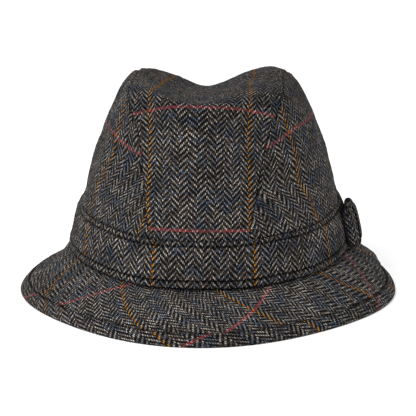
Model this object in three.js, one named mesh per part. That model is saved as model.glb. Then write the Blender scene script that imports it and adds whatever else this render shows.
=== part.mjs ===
import * as THREE from 'three';

// A tweed trilby: a crown of three cloth panels with a trough along its top and a pinch on each
// side of its front, a cloth band with a flat bow, and a snap brim whose edge is bound in cloth.
// Millimetres. The front faces -Y, the wearer's left is +X, and the brim's edge rests on Z = 0.

// The crown, measured outside at its lower edge.
const CROWN_WIDTH = 175.5;
const CROWN_LENGTH = 209.5;
const CROWN_HEIGHT = 110.8;
const CROWN_WALL = 2;

// Where the crown sits over the brim's outline, and how far its front leans down.
const CROWN_LIFT = 32.2;
const CROWN_SET_LEFT = 1.3;
const CROWN_SET_BACK = 3.8;
const CROWN_LEAN_DEG = 3;

// The centre panel runs from the front over the top to the back.
const CENTRE_PANEL_WIDTH = 90;

// The trough along the top and the two pinches at the front.
const TROUGH_DEPTH = 20;
const TROUGH_REACH = 26;
const TROUGH_OFFSET = 12;
const PINCH_DEPTH = 7;
const PINCH_FROM_FRONT_DEG = 33;
const PINCH_SPREAD_DEG = 17;

// The brim's outline, its cloth and the strip that binds its edge.
const BRIM_WIDTH = 239;
const BRIM_LENGTH = 267;
const BRIM_WIDEST_AHEAD = 3.6;
const BRIM_BACK_RISE = 18;
const BRIM_WALL = 2.4;
const BRIM_TONGUE = 1.2;
const EDGE_STRIP_WIDTH = 8.5;
const EDGE_STRIP_WALL = 1;
const EDGE_GIVE = 0.25;

// The band round the crown.
const BAND_HEIGHT = 25.2;
const BAND_WALL = 1.8;
const BAND_LIFT = 0.8;

// The flat bow on the wearer's left: a pressed loop of cloth and the wrap round its middle.
const BOW_LENGTH = 32;
const BOW_HEIGHT = 23;
const BOW_WAIST_HEIGHT = 19;
const BOW_THICKNESS = 6.4;
const BOW_WAIST_THICKNESS = 3.4;
const BOW_WALL = 1.2;
const BOW_RAISE = 10.5;
const BOW_FROM_FRONT_DEG = 88;
const WRAP_WIDTH = 10;
const WRAP_WALL = 1.4;

// The space that a seam or a layer keeps to its neighbour.
const SEAM_GAP = 0.3;

// Crown sections from the middle of the top (at 0) out to the lower edge (at 1). The reaches are
// shares of half the crown's width or length and the rises are shares of its height.
const CROWN_SECTIONS = [
  { at: 0.0, side: 0.0, sideRise: 1.0, front: 0.0, frontRise: 1.0, back: 0.0, backRise: 1.0 },
  { at: 0.2, side: 0.195, sideRise: 1.0, front: 0.25, frontRise: 1.0, back: 0.24, backRise: 0.99 },
  { at: 0.4, side: 0.39, sideRise: 1.0, front: 0.505, frontRise: 0.995, back: 0.49, backRise: 0.965 },
  { at: 0.5, side: 0.51, sideRise: 0.985, front: 0.63, frontRise: 0.985, back: 0.61, backRise: 0.93 },
  { at: 0.6, side: 0.625, sideRise: 0.91, front: 0.72, frontRise: 0.93, back: 0.73, backRise: 0.84 },
  { at: 0.7, side: 0.74, sideRise: 0.735, front: 0.79, frontRise: 0.71, back: 0.81, backRise: 0.66 },
  { at: 0.8, side: 0.845, sideRise: 0.49, front: 0.86, frontRise: 0.475, back: 0.88, backRise: 0.44 },
  { at: 0.9, side: 0.93, sideRise: 0.23, front: 0.93, frontRise: 0.235, back: 0.94, backRise: 0.22 },
  { at: 1.0, side: 1.0, sideRise: 0.0, front: 1.0, frontRise: 0.0, back: 1.0, backRise: 0.0 },
];

// The trough from the front edge (-1) to the back edge (1): shares of its depth and its reach.
const TROUGH_SECTIONS = [
  { at: -1.0, depth: 0.0, reach: 0.77 },
  { at: -0.72, depth: 0.0, reach: 0.77 },
  { at: -0.62, depth: 0.05, reach: 0.77 },
  { at: -0.52, depth: 0.22, reach: 0.81 },
  { at: -0.3, depth: 0.55, reach: 0.92 },
  { at: 0.0, depth: 0.85, reach: 1.0 },
  { at: 0.3, depth: 1.0, reach: 1.0 },
  { at: 0.5, depth: 0.9, reach: 0.96 },
  { at: 0.65, depth: 0.55, reach: 0.96 },
  { at: 0.8, depth: 0.15, reach: 0.96 },
  { at: 1.0, depth: 0.0, reach: 0.96 },
];

// The centre panel's width from the top's middle (0) to either lower edge (1), as a share.
const CENTRE_PANEL_SECTIONS = [
  { at: 0.0, width: 1.0 },
  { at: 0.3, width: 0.985 },
  { at: 0.42, width: 0.965 },
  { at: 0.5, width: 0.935 },
  { at: 0.6, width: 0.865 },
  { at: 0.7, width: 0.79 },
  { at: 0.8, width: 0.71 },
  { at: 0.9, width: 0.63 },
  { at: 1.0, width: 0.57 },
];

// The brim's fall below level in degrees, where it leaves the crown and at its edge.
const BRIM_SLOPES = [
  { fromFront: 0, atCrown: 30, atEdge: 50 },
  { fromFront: 60, atCrown: 30, atEdge: 50 },
  { fromFront: 95, atCrown: 45, atEdge: 46 },
  { fromFront: 140, atCrown: 43, atEdge: 18 },
  { fromFront: 180, atCrown: 32, atEdge: -22 },
];

// The trough lies to the wearer's right and falls more steeply there.
const TROUGH_LEFT_SHARE = 1.42;
const TROUGH_RIGHT_SHARE = 0.86;
const TROUGH_OFFSET_FROM = 0.3;
const TROUGH_OFFSET_TO = 0.75;

// Where the pinches lie between the top's middle and the lower edge.
const PINCH_AT = 0.68;
const PINCH_SPREAD = 0.13;

// How much narrower the brim's front and fuller its back are than an ellipse, in shares.
const BRIM_FRONT_NARROWING = 0.055;
const BRIM_BACK_FULLNESS = 0.02;
const BRIM_RISE_FROM_DEG = 125;

// How far the brim's curve holds its slope at each end, as shares of its width.
const BRIM_CROWN_HOLD = 0.3;
const BRIM_EDGE_HOLD = 0.35;

// The rounded nose of the edge strip, from its upper to its lower side, in degrees from its line.
const NOSE_DEG = [90, 38, -14, -66, -90];
const FOOT_HALF_DEG = 26;

// Facets.
const PANEL_ROWS = 40;
const CENTRE_COLUMNS = 14;
const SIDE_COLUMNS = 10;
const RING_STEPS = 60;
const BRIM_STEPS = 4;
const BOW_RUN_STEPS = 14;
const BOW_END_STEPS = 4;
const BOW_ROWS = 2;
const WRAP_ROWS = 4;
const WRAP_SIDE_STEPS = 4;

const rad = THREE.MathUtils.degToRad;
const HALF_WIDTH = CROWN_WIDTH / 2;
const HALF_LENGTH = CROWN_LENGTH / 2;

// A smooth curve through one column of a table.
function through(table, key, column, x) {
  let i = 0;
  while (i < table.length - 2 && x >= table[i + 1][key]) {
    i += 1;
  }
  const rise = (k) => (table[k + 1][column] - table[k][column]) / (table[k + 1][key] - table[k][key]);
  const slope = (k) => {
    if (k === 0) {
      return rise(0);
    }
    if (k === table.length - 1) {
      return rise(k - 1);
    }
    const before = table[k][key] - table[k - 1][key];
    const after = table[k + 1][key] - table[k][key];
    return (rise(k - 1) * after + rise(k) * before) / (before + after);
  };
  const span = table[i + 1][key] - table[i][key];
  const t = (x - table[i][key]) / span;
  const t2 = t * t;
  const t3 = t2 * t;
  return (2 * t3 - 3 * t2 + 1) * table[i][column]
    + (t3 - 2 * t2 + t) * span * slope(i)
    + (3 * t2 - 2 * t3) * table[i + 1][column]
    + (t3 - t2) * span * slope(i + 1);
}

const smooth = (from, to, x) => THREE.MathUtils.smoothstep(x, from, to);
const bell = (x) => Math.exp(-x * x);

// The crown's outside. Across and along run from -1 to 1, and the lower edge is the circle where
// both squared add up to 1.
function crownShape(across, along) {
  const r = Math.hypot(across, along);
  const around = Math.atan2(across, -along);
  const left = Math.sin(around);
  const front = Math.cos(around);
  const share = { side: left * left, front: front > 0 ? front * front : 0, back: front < 0 ? front * front : 0 };
  let reach = 0;
  let rise = 0;
  for (const way of ['side', 'front', 'back']) {
    reach += share[way] * through(CROWN_SECTIONS, 'at', way, r);
    rise += share[way] * through(CROWN_SECTIONS, 'at', `${way}Rise`, r);
  }
  let x = HALF_WIDTH * reach * left;
  let y = -HALF_LENGTH * reach * front;
  const middle = -TROUGH_OFFSET * (1 - smooth(TROUGH_OFFSET_FROM, TROUGH_OFFSET_TO, Math.abs(along)));
  const sideShare = x > middle ? TROUGH_LEFT_SHARE : TROUGH_RIGHT_SHARE;
  const spread = TROUGH_REACH * sideShare * through(TROUGH_SECTIONS, 'at', 'reach', along);
  const depth = TROUGH_DEPTH * through(TROUGH_SECTIONS, 'at', 'depth', along);
  const z = CROWN_HEIGHT * rise - depth * bell((x - middle) / spread);
  const fromFront = THREE.MathUtils.radToDeg(around);
  for (const side of [-1, 1]) {
    const off = Math.hypot(
      (fromFront - side * PINCH_FROM_FRONT_DEG) / PINCH_SPREAD_DEG,
      (r - PINCH_AT) / PINCH_SPREAD,
    );
    x -= PINCH_DEPTH * bell(off) * left;
    y += PINCH_DEPTH * bell(off) * front;
  }
  return new THREE.Vector3(x, y, z);
}

// The crown's own place: leaned forward, lifted and set over the brim.
function seat(point) {
  const lean = rad(CROWN_LEAN_DEG);
  return new THREE.Vector3(
    point.x + CROWN_SET_LEFT,
    point.y * Math.cos(lean) - point.z * Math.sin(lean) + CROWN_SET_BACK,
    point.y * Math.sin(lean) + point.z * Math.cos(lean) + CROWN_LIFT,
  );
}

// The outward direction of the crown's cloth, turned level where the cloth ends.
function crownNormal(across, along) {
  const step = 0.002;
  const dx = crownShape(across + step, along).sub(crownShape(across - step, along));
  const dy = crownShape(across, along + step).sub(crownShape(across, along - step));
  const normal = dx.cross(dy).normalize();
  normal.z *= 1 - smooth(0.9, 1, Math.hypot(across, along));
  return normal.normalize();
}

// A point a little inside or outside the crown's cloth.
function crownPoint(across, along, out) {
  return seat(crownShape(across, along).addScaledVector(crownNormal(across, along), out));
}

// A closed body from vertices and triangles.
function solid(vertices, triangles) {
  const geometry = new THREE.BufferGeometry();
  geometry.setAttribute('position', new THREE.Float32BufferAttribute(vertices.flatMap((v) => [v.x, v.y, v.z]), 3));
  geometry.setIndex(triangles.flat());
  geometry.computeVertexNormals();
  return geometry;
}

// A sheet with thickness: an outer and an inner grid, joined round their four edges. Each facet is
// split along its shorter diagonal.
function sheet(rows, columns, outer, inner) {
  const vertices = [];
  const count = (rows + 1) * (columns + 1);
  for (const face of [outer, inner]) {
    for (let j = 0; j <= rows; j += 1) {
      for (let i = 0; i <= columns; i += 1) {
        vertices.push(face(j, i));
      }
    }
  }
  const at = (j, i) => j * (columns + 1) + i;
  const triangles = [];
  const quad = (a, b, c, d) => triangles.push([a, b, c], [a, c, d]);
  const shorter = (a, b, c, d) => vertices[a].distanceTo(vertices[c]) < vertices[b].distanceTo(vertices[d]);
  for (let j = 0; j < rows; j += 1) {
    for (let i = 0; i < columns; i += 1) {
      const [a, b, c, d] = [at(j, i), at(j, i + 1), at(j + 1, i + 1), at(j + 1, i)];
      if (shorter(a, b, c, d)) {
        quad(a, b, c, d);
        quad(count + a, count + d, count + c, count + b);
      } else {
        quad(b, c, d, a);
        quad(count + b, count + a, count + d, count + c);
      }
    }
    quad(at(j, 0), at(j + 1, 0), count + at(j + 1, 0), count + at(j, 0));
    quad(at(j + 1, columns), at(j, columns), count + at(j, columns), count + at(j + 1, columns));
  }
  for (let i = 0; i < columns; i += 1) {
    quad(at(0, i + 1), at(0, i), count + at(0, i), count + at(0, i + 1));
    quad(at(rows, i), at(rows, i + 1), count + at(rows, i + 1), count + at(rows, i));
  }
  return solid(vertices, triangles);
}

// A closed outline carried round a loop, such as a band or a brim. A crossed one splits its facets
// along their other diagonal, so that the faces of two hoops that lie together match.
function hoop(steps, outlineAt, crossed = false) {
  const vertices = [];
  const triangles = [];
  let size = 0;
  for (let k = 0; k < steps; k += 1) {
    const outline = outlineAt((k / steps) * 2 * Math.PI, k);
    size = outline.length;
    vertices.push(...outline);
  }
  for (let k = 0; k < steps; k += 1) {
    const next = (k + 1) % steps;
    for (let i = 0; i < size; i += 1) {
      const after = (i + 1) % size;
      const [a, b, c, d] = [k * size + i, k * size + after, next * size + after, next * size + i];
      triangles.push(...(crossed ? [[a, b, d], [b, c, d]] : [[a, b, c], [a, c, d]]));
    }
  }
  return solid(vertices, triangles);
}

// Rows of a panel, closer together on the walls than on the top. From the lip outward they keep
// one distance from the middle of the top.
const TOP_ROWS_TO = 0.38;
const TOP_ENDS_AT = 0.45;
function rowShare(t) {
  const size = Math.abs(t);
  const share = size < TOP_ROWS_TO
    ? (size * TOP_ENDS_AT) / TOP_ROWS_TO
    : TOP_ENDS_AT + ((size - TOP_ROWS_TO) * (1 - TOP_ENDS_AT)) / (1 - TOP_ROWS_TO);
  return Math.sign(t) * share;
}

// Half of the centre panel's width at a row, as a share of half the crown's width.
function seamAcross(share) {
  return (CENTRE_PANEL_WIDTH / CROWN_WIDTH) * through(CENTRE_PANEL_SECTIONS, 'at', 'width', Math.abs(share));
}
const HALF_SEAM = SEAM_GAP / CROWN_WIDTH;

function crownCentre() {
  const spot = (j, i) => {
    const share = rowShare((2 * j) / PANEL_ROWS - 1);
    const seam = seamAcross(share) - HALF_SEAM;
    const across = ((2 * i) / CENTRE_COLUMNS - 1) * seam;
    const bend = smooth(0, TOP_ENDS_AT, Math.abs(share)) * (seam * seam - across * across);
    return [across, Math.sign(share) * Math.sqrt(share * share * (1 - seam * seam) + bend)];
  };
  return sheet(
    PANEL_ROWS,
    CENTRE_COLUMNS,
    (j, i) => crownPoint(...spot(j, i), 0),
    (j, i) => crownPoint(...spot(j, i), -CROWN_WALL),
  );
}

// A side panel is a lens between the seam and the crown's lower edge. Its two points are cut off
// square where the band covers them.
const CORNER_CUT = 0.04;
function crownSide(side) {
  const spot = (j, i) => {
    const t = THREE.MathUtils.clamp((2 * j) / PANEL_ROWS - 1, CORNER_CUT - 1, 1 - CORNER_CUT);
    const share = rowShare(t);
    const seam = seamAcross(share) + HALF_SEAM;
    const seamAlong = share * Math.sqrt(1 - seam * seam);
    const corner = Math.acos(seamAcross(1));
    const toEdge = side > 0 ? i / SIDE_COLUMNS : 1 - i / SIDE_COLUMNS;
    const across = THREE.MathUtils.lerp(seam, Math.cos(corner * share), toEdge);
    const along = THREE.MathUtils.lerp(seamAlong, Math.sin(corner * share), toEdge);
    return [side * across, along];
  };
  return sheet(
    PANEL_ROWS,
    SIDE_COLUMNS,
    (j, i) => crownPoint(...spot(j, i), 0),
    (j, i) => crownPoint(...spot(j, i), -CROWN_WALL),
  );
}

// The point of the crown's lower wall at a height above its edge, a little out from the cloth.
function wallPoint(turn, height, out) {
  let low = 0.75;
  let high = 1.05;
  for (let k = 0; k < 30; k += 1) {
    const r = (low + high) / 2;
    if (crownShape(r * Math.sin(turn), -r * Math.cos(turn)).z > height) {
      low = r;
    } else {
      high = r;
    }
  }
  return crownPoint(low * Math.sin(turn), -low * Math.cos(turn), out);
}

function hatBand() {
  const inner = SEAM_GAP;
  const outer = SEAM_GAP + BAND_WALL;
  const heights = [0, 1 / 3, 2 / 3, 1].map((share) => BAND_LIFT + share * BAND_HEIGHT);
  return hoop(RING_STEPS, (turn) => [
    ...heights.map((height) => wallPoint(turn, height, outer)).reverse(),
    ...heights.map((height) => wallPoint(turn, height, inner)),
  ]);
}

// The brim's slope at a place round the hat.
function brimSlope(turn, end) {
  const around = THREE.MathUtils.radToDeg(turn > Math.PI ? 2 * Math.PI - turn : turn);
  return rad(through(BRIM_SLOPES, 'fromFront', end, around));
}

const STRIP_HALF = BRIM_TONGUE / 2 + SEAM_GAP + EDGE_STRIP_WALL;
const STRIP_MIDDLE = (EDGE_STRIP_WIDTH + STRIP_HALF) / 2;

// The outermost line of the brim.
function brimEdge(turn) {
  const front = Math.cos(turn);
  const corner = Math.sin(2 * turn) ** 2;
  const fullness = front > 0 ? 1 - BRIM_FRONT_NARROWING * corner : 1 + BRIM_BACK_FULLNESS * corner;
  const reach = front > 0 ? BRIM_LENGTH / 2 - BRIM_WIDEST_AHEAD : BRIM_LENGTH / 2 + BRIM_WIDEST_AHEAD;
  const around = THREE.MathUtils.radToDeg(turn > Math.PI ? 2 * Math.PI - turn : turn);
  const foot = STRIP_HALF * Math.cos(rad(FOOT_HALF_DEG)) - EDGE_GIVE;
  return new THREE.Vector3(
    (BRIM_WIDTH / 2) * Math.sin(turn) * fullness,
    -reach * front * fullness - BRIM_WIDEST_AHEAD,
    foot - STRIP_HALF * Math.sin(brimSlope(turn, 'atEdge'))
      + BRIM_BACK_RISE * smooth(BRIM_RISE_FROM_DEG, 180, around),
  );
}

// The brim's middle line from under the crown's wall to its edge, as a curve in the plane that
// holds both ends and the vertical.
function brimCurve(turn) {
  const under = crownShape(Math.sin(turn), -Math.cos(turn))
    .addScaledVector(crownNormal(Math.sin(turn), -Math.cos(turn)), -CROWN_WALL);
  under.z -= SEAM_GAP + BRIM_WALL / 2;
  const start = seat(under);
  const end = brimEdge(turn);
  const outward = new THREE.Vector3(end.x - start.x, end.y - start.y, 0).normalize();
  const fall = (angle) => outward.clone().multiplyScalar(Math.cos(angle)).setZ(-Math.sin(angle));
  const length = start.distanceTo(end);
  const leave = fall(brimSlope(turn, 'atCrown')).multiplyScalar(BRIM_CROWN_HOLD * length);
  const arrive = fall(brimSlope(turn, 'atEdge')).multiplyScalar(-BRIM_EDGE_HOLD * length);
  const curve = new THREE.CubicBezierCurve3(start, start.clone().add(leave), end.clone().add(arrive), end);
  return { curve, outward, length: curve.getLength() };
}

// A point beside the brim's middle line: so far from its outer end, so far above the line.
function brimPoint({ curve, outward, length }, fromEdge, above) {
  const t = THREE.MathUtils.clamp(1 - fromEdge / length, 0, 1);
  const tangent = curve.getTangentAt(t);
  const level = tangent.dot(outward);
  const up = outward.clone().multiplyScalar(-tangent.z).setZ(level).normalize();
  return curve.getPointAt(t).addScaledVector(up, above);
}

function brim() {
  const half = BRIM_WALL / 2;
  const tongue = BRIM_TONGUE / 2;
  const shoulder = EDGE_STRIP_WIDTH + SEAM_GAP;
  const tip = STRIP_HALF + SEAM_GAP / 2;
  return hoop(RING_STEPS, (turn) => {
    const line = brimCurve(turn);
    const spots = [];
    for (let k = 0; k <= BRIM_STEPS; k += 1) {
      spots.push(THREE.MathUtils.lerp(line.length, shoulder, k / BRIM_STEPS));
    }
    return [
      ...spots.map((spot) => brimPoint(line, spot, half)),
      brimPoint(line, shoulder, tongue),
      brimPoint(line, STRIP_MIDDLE, tongue),
      brimPoint(line, tip, tongue),
      brimPoint(line, tip, -tongue),
      brimPoint(line, STRIP_MIDDLE, -tongue),
      brimPoint(line, shoulder, -tongue),
      ...spots.map((spot) => brimPoint(line, spot, -half)).reverse(),
    ];
  });
}

// The edge strip is folded round the brim's edge. Its nose lies flat where it meets the surface
// that the hat rests on.
function brimEdgeStrip() {
  const outer = STRIP_HALF;
  const inner = STRIP_HALF - EDGE_STRIP_WALL;
  const nose = (line, radius, degrees) => {
    const centre = brimPoint(line, STRIP_HALF, 0);
    const above = brimPoint(line, STRIP_HALF, 1).sub(centre);
    const ahead = brimPoint(line, 0, 0).sub(centre).normalize();
    return centre
      .addScaledVector(ahead, radius * Math.cos(rad(degrees)))
      .addScaledVector(above, radius * Math.sin(rad(degrees)));
  };
  return hoop(RING_STEPS, (turn) => {
    const line = brimCurve(turn);
    const outline = [
      brimPoint(line, EDGE_STRIP_WIDTH, outer),
      brimPoint(line, STRIP_MIDDLE, outer),
      ...NOSE_DEG.map((degrees) => nose(line, outer, degrees)),
      brimPoint(line, STRIP_MIDDLE, -outer),
      brimPoint(line, EDGE_STRIP_WIDTH, -outer),
      brimPoint(line, EDGE_STRIP_WIDTH, -inner),
      brimPoint(line, STRIP_MIDDLE, -inner),
      nose(line, inner, -90),
      nose(line, inner, 0),
      nose(line, inner, 90),
      brimPoint(line, STRIP_MIDDLE, inner),
      brimPoint(line, EDGE_STRIP_WIDTH, inner),
    ];
    for (const point of outline) {
      point.z = Math.max(point.z, 0);
    }
    return outline;
  }, true);
}

// The bow follows the band. A spot is so far along it from its middle, so high above its middle
// and so far out from the band's face.
const WAIST_REACH = 7;
function bowPoint(along, above, out) {
  const turn = rad(BOW_FROM_FRONT_DEG);
  const perTurn = Math.hypot(HALF_WIDTH * Math.cos(turn), HALF_LENGTH * Math.sin(turn));
  return wallPoint(turn + along / perTurn, BAND_LIFT + BOW_RAISE + above, SEAM_GAP + BAND_WALL + out);
}
const pinched = (full, waist, along) => full - (full - waist) * bell(along / WAIST_REACH);
const bowHalfHeight = (along) => pinched(BOW_HEIGHT, BOW_WAIST_HEIGHT, along) / 2;
const bowHalfThickness = (along) => pinched(BOW_THICKNESS, BOW_WAIST_THICKNESS, along) / 2;

// The bow's middle plane stands off the band by the wrap's cloth and comes back to it at the ends.
function bowStand(along) {
  const wrap = WRAP_WALL + SEAM_GAP;
  return SEAM_GAP + bowHalfThickness(along)
    + wrap * (1 - smooth(WRAP_WIDTH / 2 + 1, WRAP_WIDTH, Math.abs(along)));
}

// The bow is a flat loop: two long runs joined by round ends. The inset goes in from its outside.
function bandBow() {
  const endRadius = bowHalfThickness(BOW_LENGTH / 2);
  const run = BOW_LENGTH / 2 - endRadius;
  const wall = (spot, row, inset) => {
    const along = spot.run * run + (endRadius - inset) * Math.cos(spot.turn);
    const deep = (spot.run < 1 && spot.run > -1 ? bowHalfThickness(along) : endRadius) - inset;
    const above = ((2 * row) / BOW_ROWS - 1) * bowHalfHeight(along);
    return bowPoint(along, above, bowStand(along) + deep * Math.sin(spot.turn));
  };
  const spots = [];
  for (const side of [1, -1]) {
    for (let k = 1; k < BOW_RUN_STEPS; k += 1) {
      spots.push({ run: side * (1 - (2 * k) / BOW_RUN_STEPS), turn: side * (Math.PI / 2) });
    }
    for (let k = 0; k <= BOW_END_STEPS; k += 1) {
      spots.push({ run: -side, turn: side * (Math.PI / 2) + (k / BOW_END_STEPS) * Math.PI });
    }
  }
  return hoop(spots.length, (turn, k) => {
    const outline = [];
    for (let row = 0; row <= BOW_ROWS; row += 1) {
      outline.push(wall(spots[k], row, 0));
    }
    for (let row = BOW_ROWS; row >= 0; row -= 1) {
      outline.push(wall(spots[k], row, BOW_WALL));
    }
    return outline;
  });
}

// The wrap goes right round the bow's waist, with its corners cut off.
function bowWrap() {
  const spots = [];
  for (const out of [1, -1]) {
    for (let k = 0; k <= WRAP_SIDE_STEPS; k += 1) {
      spots.push({ above: out * (1 - (2 * k) / WRAP_SIDE_STEPS), out });
    }
  }
  const ring = (spot, row, wall) => {
    const along = ((2 * row) / WRAP_ROWS - 1) * (WRAP_WIDTH / 2);
    const corner = Math.abs(spot.above) === 1;
    const push = corner ? wall * Math.SQRT1_2 : wall;
    const above = spot.above * (bowHalfHeight(along) + SEAM_GAP) + (corner ? spot.above * push : 0);
    const out = spot.out * (bowHalfThickness(along) + SEAM_GAP + push);
    return bowPoint(along, above, bowStand(along) + out);
  };
  return hoop(spots.length, (turn, k) => {
    const outline = [];
    for (let row = 0; row <= WRAP_ROWS; row += 1) {
      outline.push(ring(spots[k], row, WRAP_WALL));
    }
    for (let row = WRAP_ROWS; row >= 0; row -= 1) {
      outline.push(ring(spots[k], row, 0));
    }
    return outline.reverse();
  });
}

const tweed = (colour) => new THREE.MeshStandardMaterial({ color: colour, roughness: 0.95, metalness: 0 });

const hat = new THREE.Group();
function add(name, geometry, colour) {
  const mesh = new THREE.Mesh(geometry, tweed(colour));
  mesh.name = name;
  hat.add(mesh);
}

add('crown_centre', crownCentre(), 0x45423f);
add('crown_side_left', crownSide(1), 0x423f3d);
add('crown_side_right', crownSide(-1), 0x423f3d);
add('hat_band', hatBand(), 0x3e3c3b);
add('band_bow', bandBow(), 0x3c3a39);
add('bow_wrap', bowWrap(), 0x3c3a39);
add('brim', brim(), 0x413e3b);
add('brim_edge', brimEdgeStrip(), 0x413e3b);

export default hat;
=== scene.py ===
"""A tweed trilby: a crown of three herringbone panels with a trough and two pinches, a cloth band
with a flat bow, and a snap brim bound in a strip of the same cloth.

Metres. The front faces -Y, the wearer's left is +X and the brim's edge rests on Z = 0.
"""

import math

import bpy
import numpy as np
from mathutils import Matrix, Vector


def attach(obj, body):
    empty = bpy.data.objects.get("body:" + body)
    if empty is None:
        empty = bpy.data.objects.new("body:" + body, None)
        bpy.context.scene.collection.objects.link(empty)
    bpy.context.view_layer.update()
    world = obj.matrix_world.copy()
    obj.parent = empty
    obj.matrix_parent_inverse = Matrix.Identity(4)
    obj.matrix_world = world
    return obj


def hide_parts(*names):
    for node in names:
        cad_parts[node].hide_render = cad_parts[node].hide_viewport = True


bl_info = {
    "name": "Tweed trilby",
    "version": (1, 0, 0),
    "blender": (4, 5, 0),
    "location": "3D View > Sidebar > Trilby",
    "description": "Builds a herringbone tweed trilby, piece by piece",
    "category": "Add Mesh",
}

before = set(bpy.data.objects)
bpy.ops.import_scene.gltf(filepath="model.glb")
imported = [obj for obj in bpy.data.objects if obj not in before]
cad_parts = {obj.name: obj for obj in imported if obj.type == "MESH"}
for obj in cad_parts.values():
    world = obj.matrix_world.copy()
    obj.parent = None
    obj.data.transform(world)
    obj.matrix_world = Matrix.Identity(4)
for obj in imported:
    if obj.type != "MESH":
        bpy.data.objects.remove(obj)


def table(columns, *rows):
    """A table as one dict for each row, under the names of its columns."""
    return [dict(zip(columns.split(), row)) for row in rows]


# Crown sections from the middle of the top (at 0) out to the lower edge (at 1). The reaches are
# shares of half the crown's width or length and the rises are shares of its height.
CROWN_SECTIONS = table(
    "at side side_rise front front_rise back back_rise",
    (0.0, 0.0, 1.0, 0.0, 1.0, 0.0, 1.0),
    (0.2, 0.195, 1.0, 0.25, 1.0, 0.24, 0.99),
    (0.4, 0.39, 1.0, 0.505, 0.995, 0.49, 0.965),
    (0.5, 0.51, 0.985, 0.63, 0.985, 0.61, 0.93),
    (0.6, 0.625, 0.91, 0.72, 0.93, 0.73, 0.84),
    (0.7, 0.74, 0.735, 0.79, 0.71, 0.81, 0.66),
    (0.8, 0.845, 0.49, 0.86, 0.475, 0.88, 0.44),
    (0.9, 0.93, 0.23, 0.93, 0.235, 0.94, 0.22),
    (1.0, 1.0, 0.0, 1.0, 0.0, 1.0, 0.0),
)

# The trough from the front edge (-1) to the back edge (1): shares of its depth and its reach.
TROUGH_SECTIONS = table(
    "at depth reach",
    (-1.0, 0.0, 0.77),
    (-0.72, 0.0, 0.77),
    (-0.62, 0.05, 0.77),
    (-0.52, 0.22, 0.81),
    (-0.3, 0.55, 0.92),
    (0.0, 0.85, 1.0),
    (0.3, 1.0, 1.0),
    (0.5, 0.9, 0.96),
    (0.65, 0.55, 0.96),
    (0.8, 0.15, 0.96),
    (1.0, 0.0, 0.96),
)

# The centre panel's width from the top's middle (0) to either lower edge (1), as a share.
CENTRE_PANEL_SECTIONS = table(
    "at width",
    (0.0, 1.0),
    (0.3, 0.985),
    (0.42, 0.965),
    (0.5, 0.935),
    (0.6, 0.865),
    (0.7, 0.79),
    (0.8, 0.71),
    (0.9, 0.63),
    (1.0, 0.57),
)

# The brim's fall below level in degrees, where it leaves the crown and at its edge.
BRIM_SLOPES = table(
    "from_front at_crown at_edge",
    (0, 30, 50),
    (60, 30, 50),
    (95, 45, 46),
    (140, 43, 18),
    (180, 32, -22),
)

# The trough lies to the wearer's right and falls more steeply there.
TROUGH_LEFT_SHARE = 1.42
TROUGH_RIGHT_SHARE = 0.86
TROUGH_OFFSET_FROM = 0.3
TROUGH_OFFSET_TO = 0.75

# Where the pinches lie between the top's middle and the lower edge.
PINCH_AT = 0.68
PINCH_SPREAD = 0.13

# How much narrower the brim's front and fuller its back are than an ellipse, in shares.
BRIM_FRONT_NARROWING = 0.055
BRIM_BACK_FULLNESS = 0.02
BRIM_RISE_FROM = math.radians(125)

# How far the brim's curve holds its slope at each end, as shares of its width.
BRIM_CROWN_HOLD = 0.3
BRIM_EDGE_HOLD = 0.35

# The strip's foot on the floor lies at this angle from the brim's line, round its nose.
FOOT_HALF = math.radians(26)

# Shares of the crown's reach: the step that its direction is worked out over, and where that
# direction starts to turn level towards the lower edge.
NORMAL_STEP = 0.002
LEVEL_FROM = 0.9

# The cloth's slow waves: how many are added up, and their shortest and longest as shares of the
# stated reach.
WAVE_COUNT = 6
WAVE_SHARES = (0.7, 1.6)

# How far the yarns stand out of the cloth's surface, on average.
NAP = 0.00009

# The least and the most that painted shade and painted light change the cloth's brightness to.
PAINTED_SHADING_LIMITS = (0.05, 1.3)


def length(name, description, default):
    """A size in metres."""
    return bpy.props.FloatProperty(
        name=name,
        description=description,
        default=default,
        subtype="DISTANCE",
        unit="LENGTH",
        precision=4,
    )


def turn(name, description, degrees):
    """An angle, given in degrees."""
    return bpy.props.FloatProperty(
        name=name,
        description=description,
        default=math.radians(degrees),
        subtype="ANGLE",
        unit="ROTATION",
    )


def colour(name, description, default):
    """A colour, in linear light."""
    return bpy.props.FloatVectorProperty(
        name=name,
        description=description,
        default=default,
        min=0.0,
        max=1.0,
        size=3,
        subtype="COLOR",
    )


class TrilbyCrownSizes(bpy.types.PropertyGroup):
    """The crown, measured outside at its lower edge."""

    width: length("Width", "Crown width at its foot", 0.1755)
    length: length("Length", "Crown length at its foot", 0.2095)
    height: length("Height", "Crown height above its foot", 0.1108)
    wall: length("Wall", "Thickness of the crown's cloth", 0.002)
    lift: length("Lift", "Height of the crown's foot above the brim's edge", 0.0322)
    set_left: length("Set left", "How far the crown sits to the wearer's left", 0.0013)
    set_back: length("Set back", "How far the crown sits to the back", 0.0038)
    lean: turn("Lean", "How far the crown's front leans down", 3)
    centre_panel: length("Centre panel", "Width of the panel that runs over the top", 0.090)
    trough_depth: length("Trough depth", "Depth of the trough along the top", 0.020)
    trough_reach: length("Trough reach", "Half width of the trough", 0.026)
    trough_offset: length("Trough offset", "How far the trough lies to the wearer's right", 0.012)
    pinch_depth: length("Pinch depth", "Depth of the two pinches at the front", 0.007)
    pinch_from_front: turn("Pinch place", "Angle of each pinch from the front", 33)
    pinch_spread: turn("Pinch spread", "Angle that a pinch spreads over", 17)
    seam_depth: length("Seam depth", "How deep the cloth dips at a seam", 0.0004)
    seam_width: length("Seam width", "How far from a seam the cloth dips", 0.0010)
    seam_puff: length("Seam puff", "How far the cloth beside a seam stands up", 0.0003)


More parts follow.
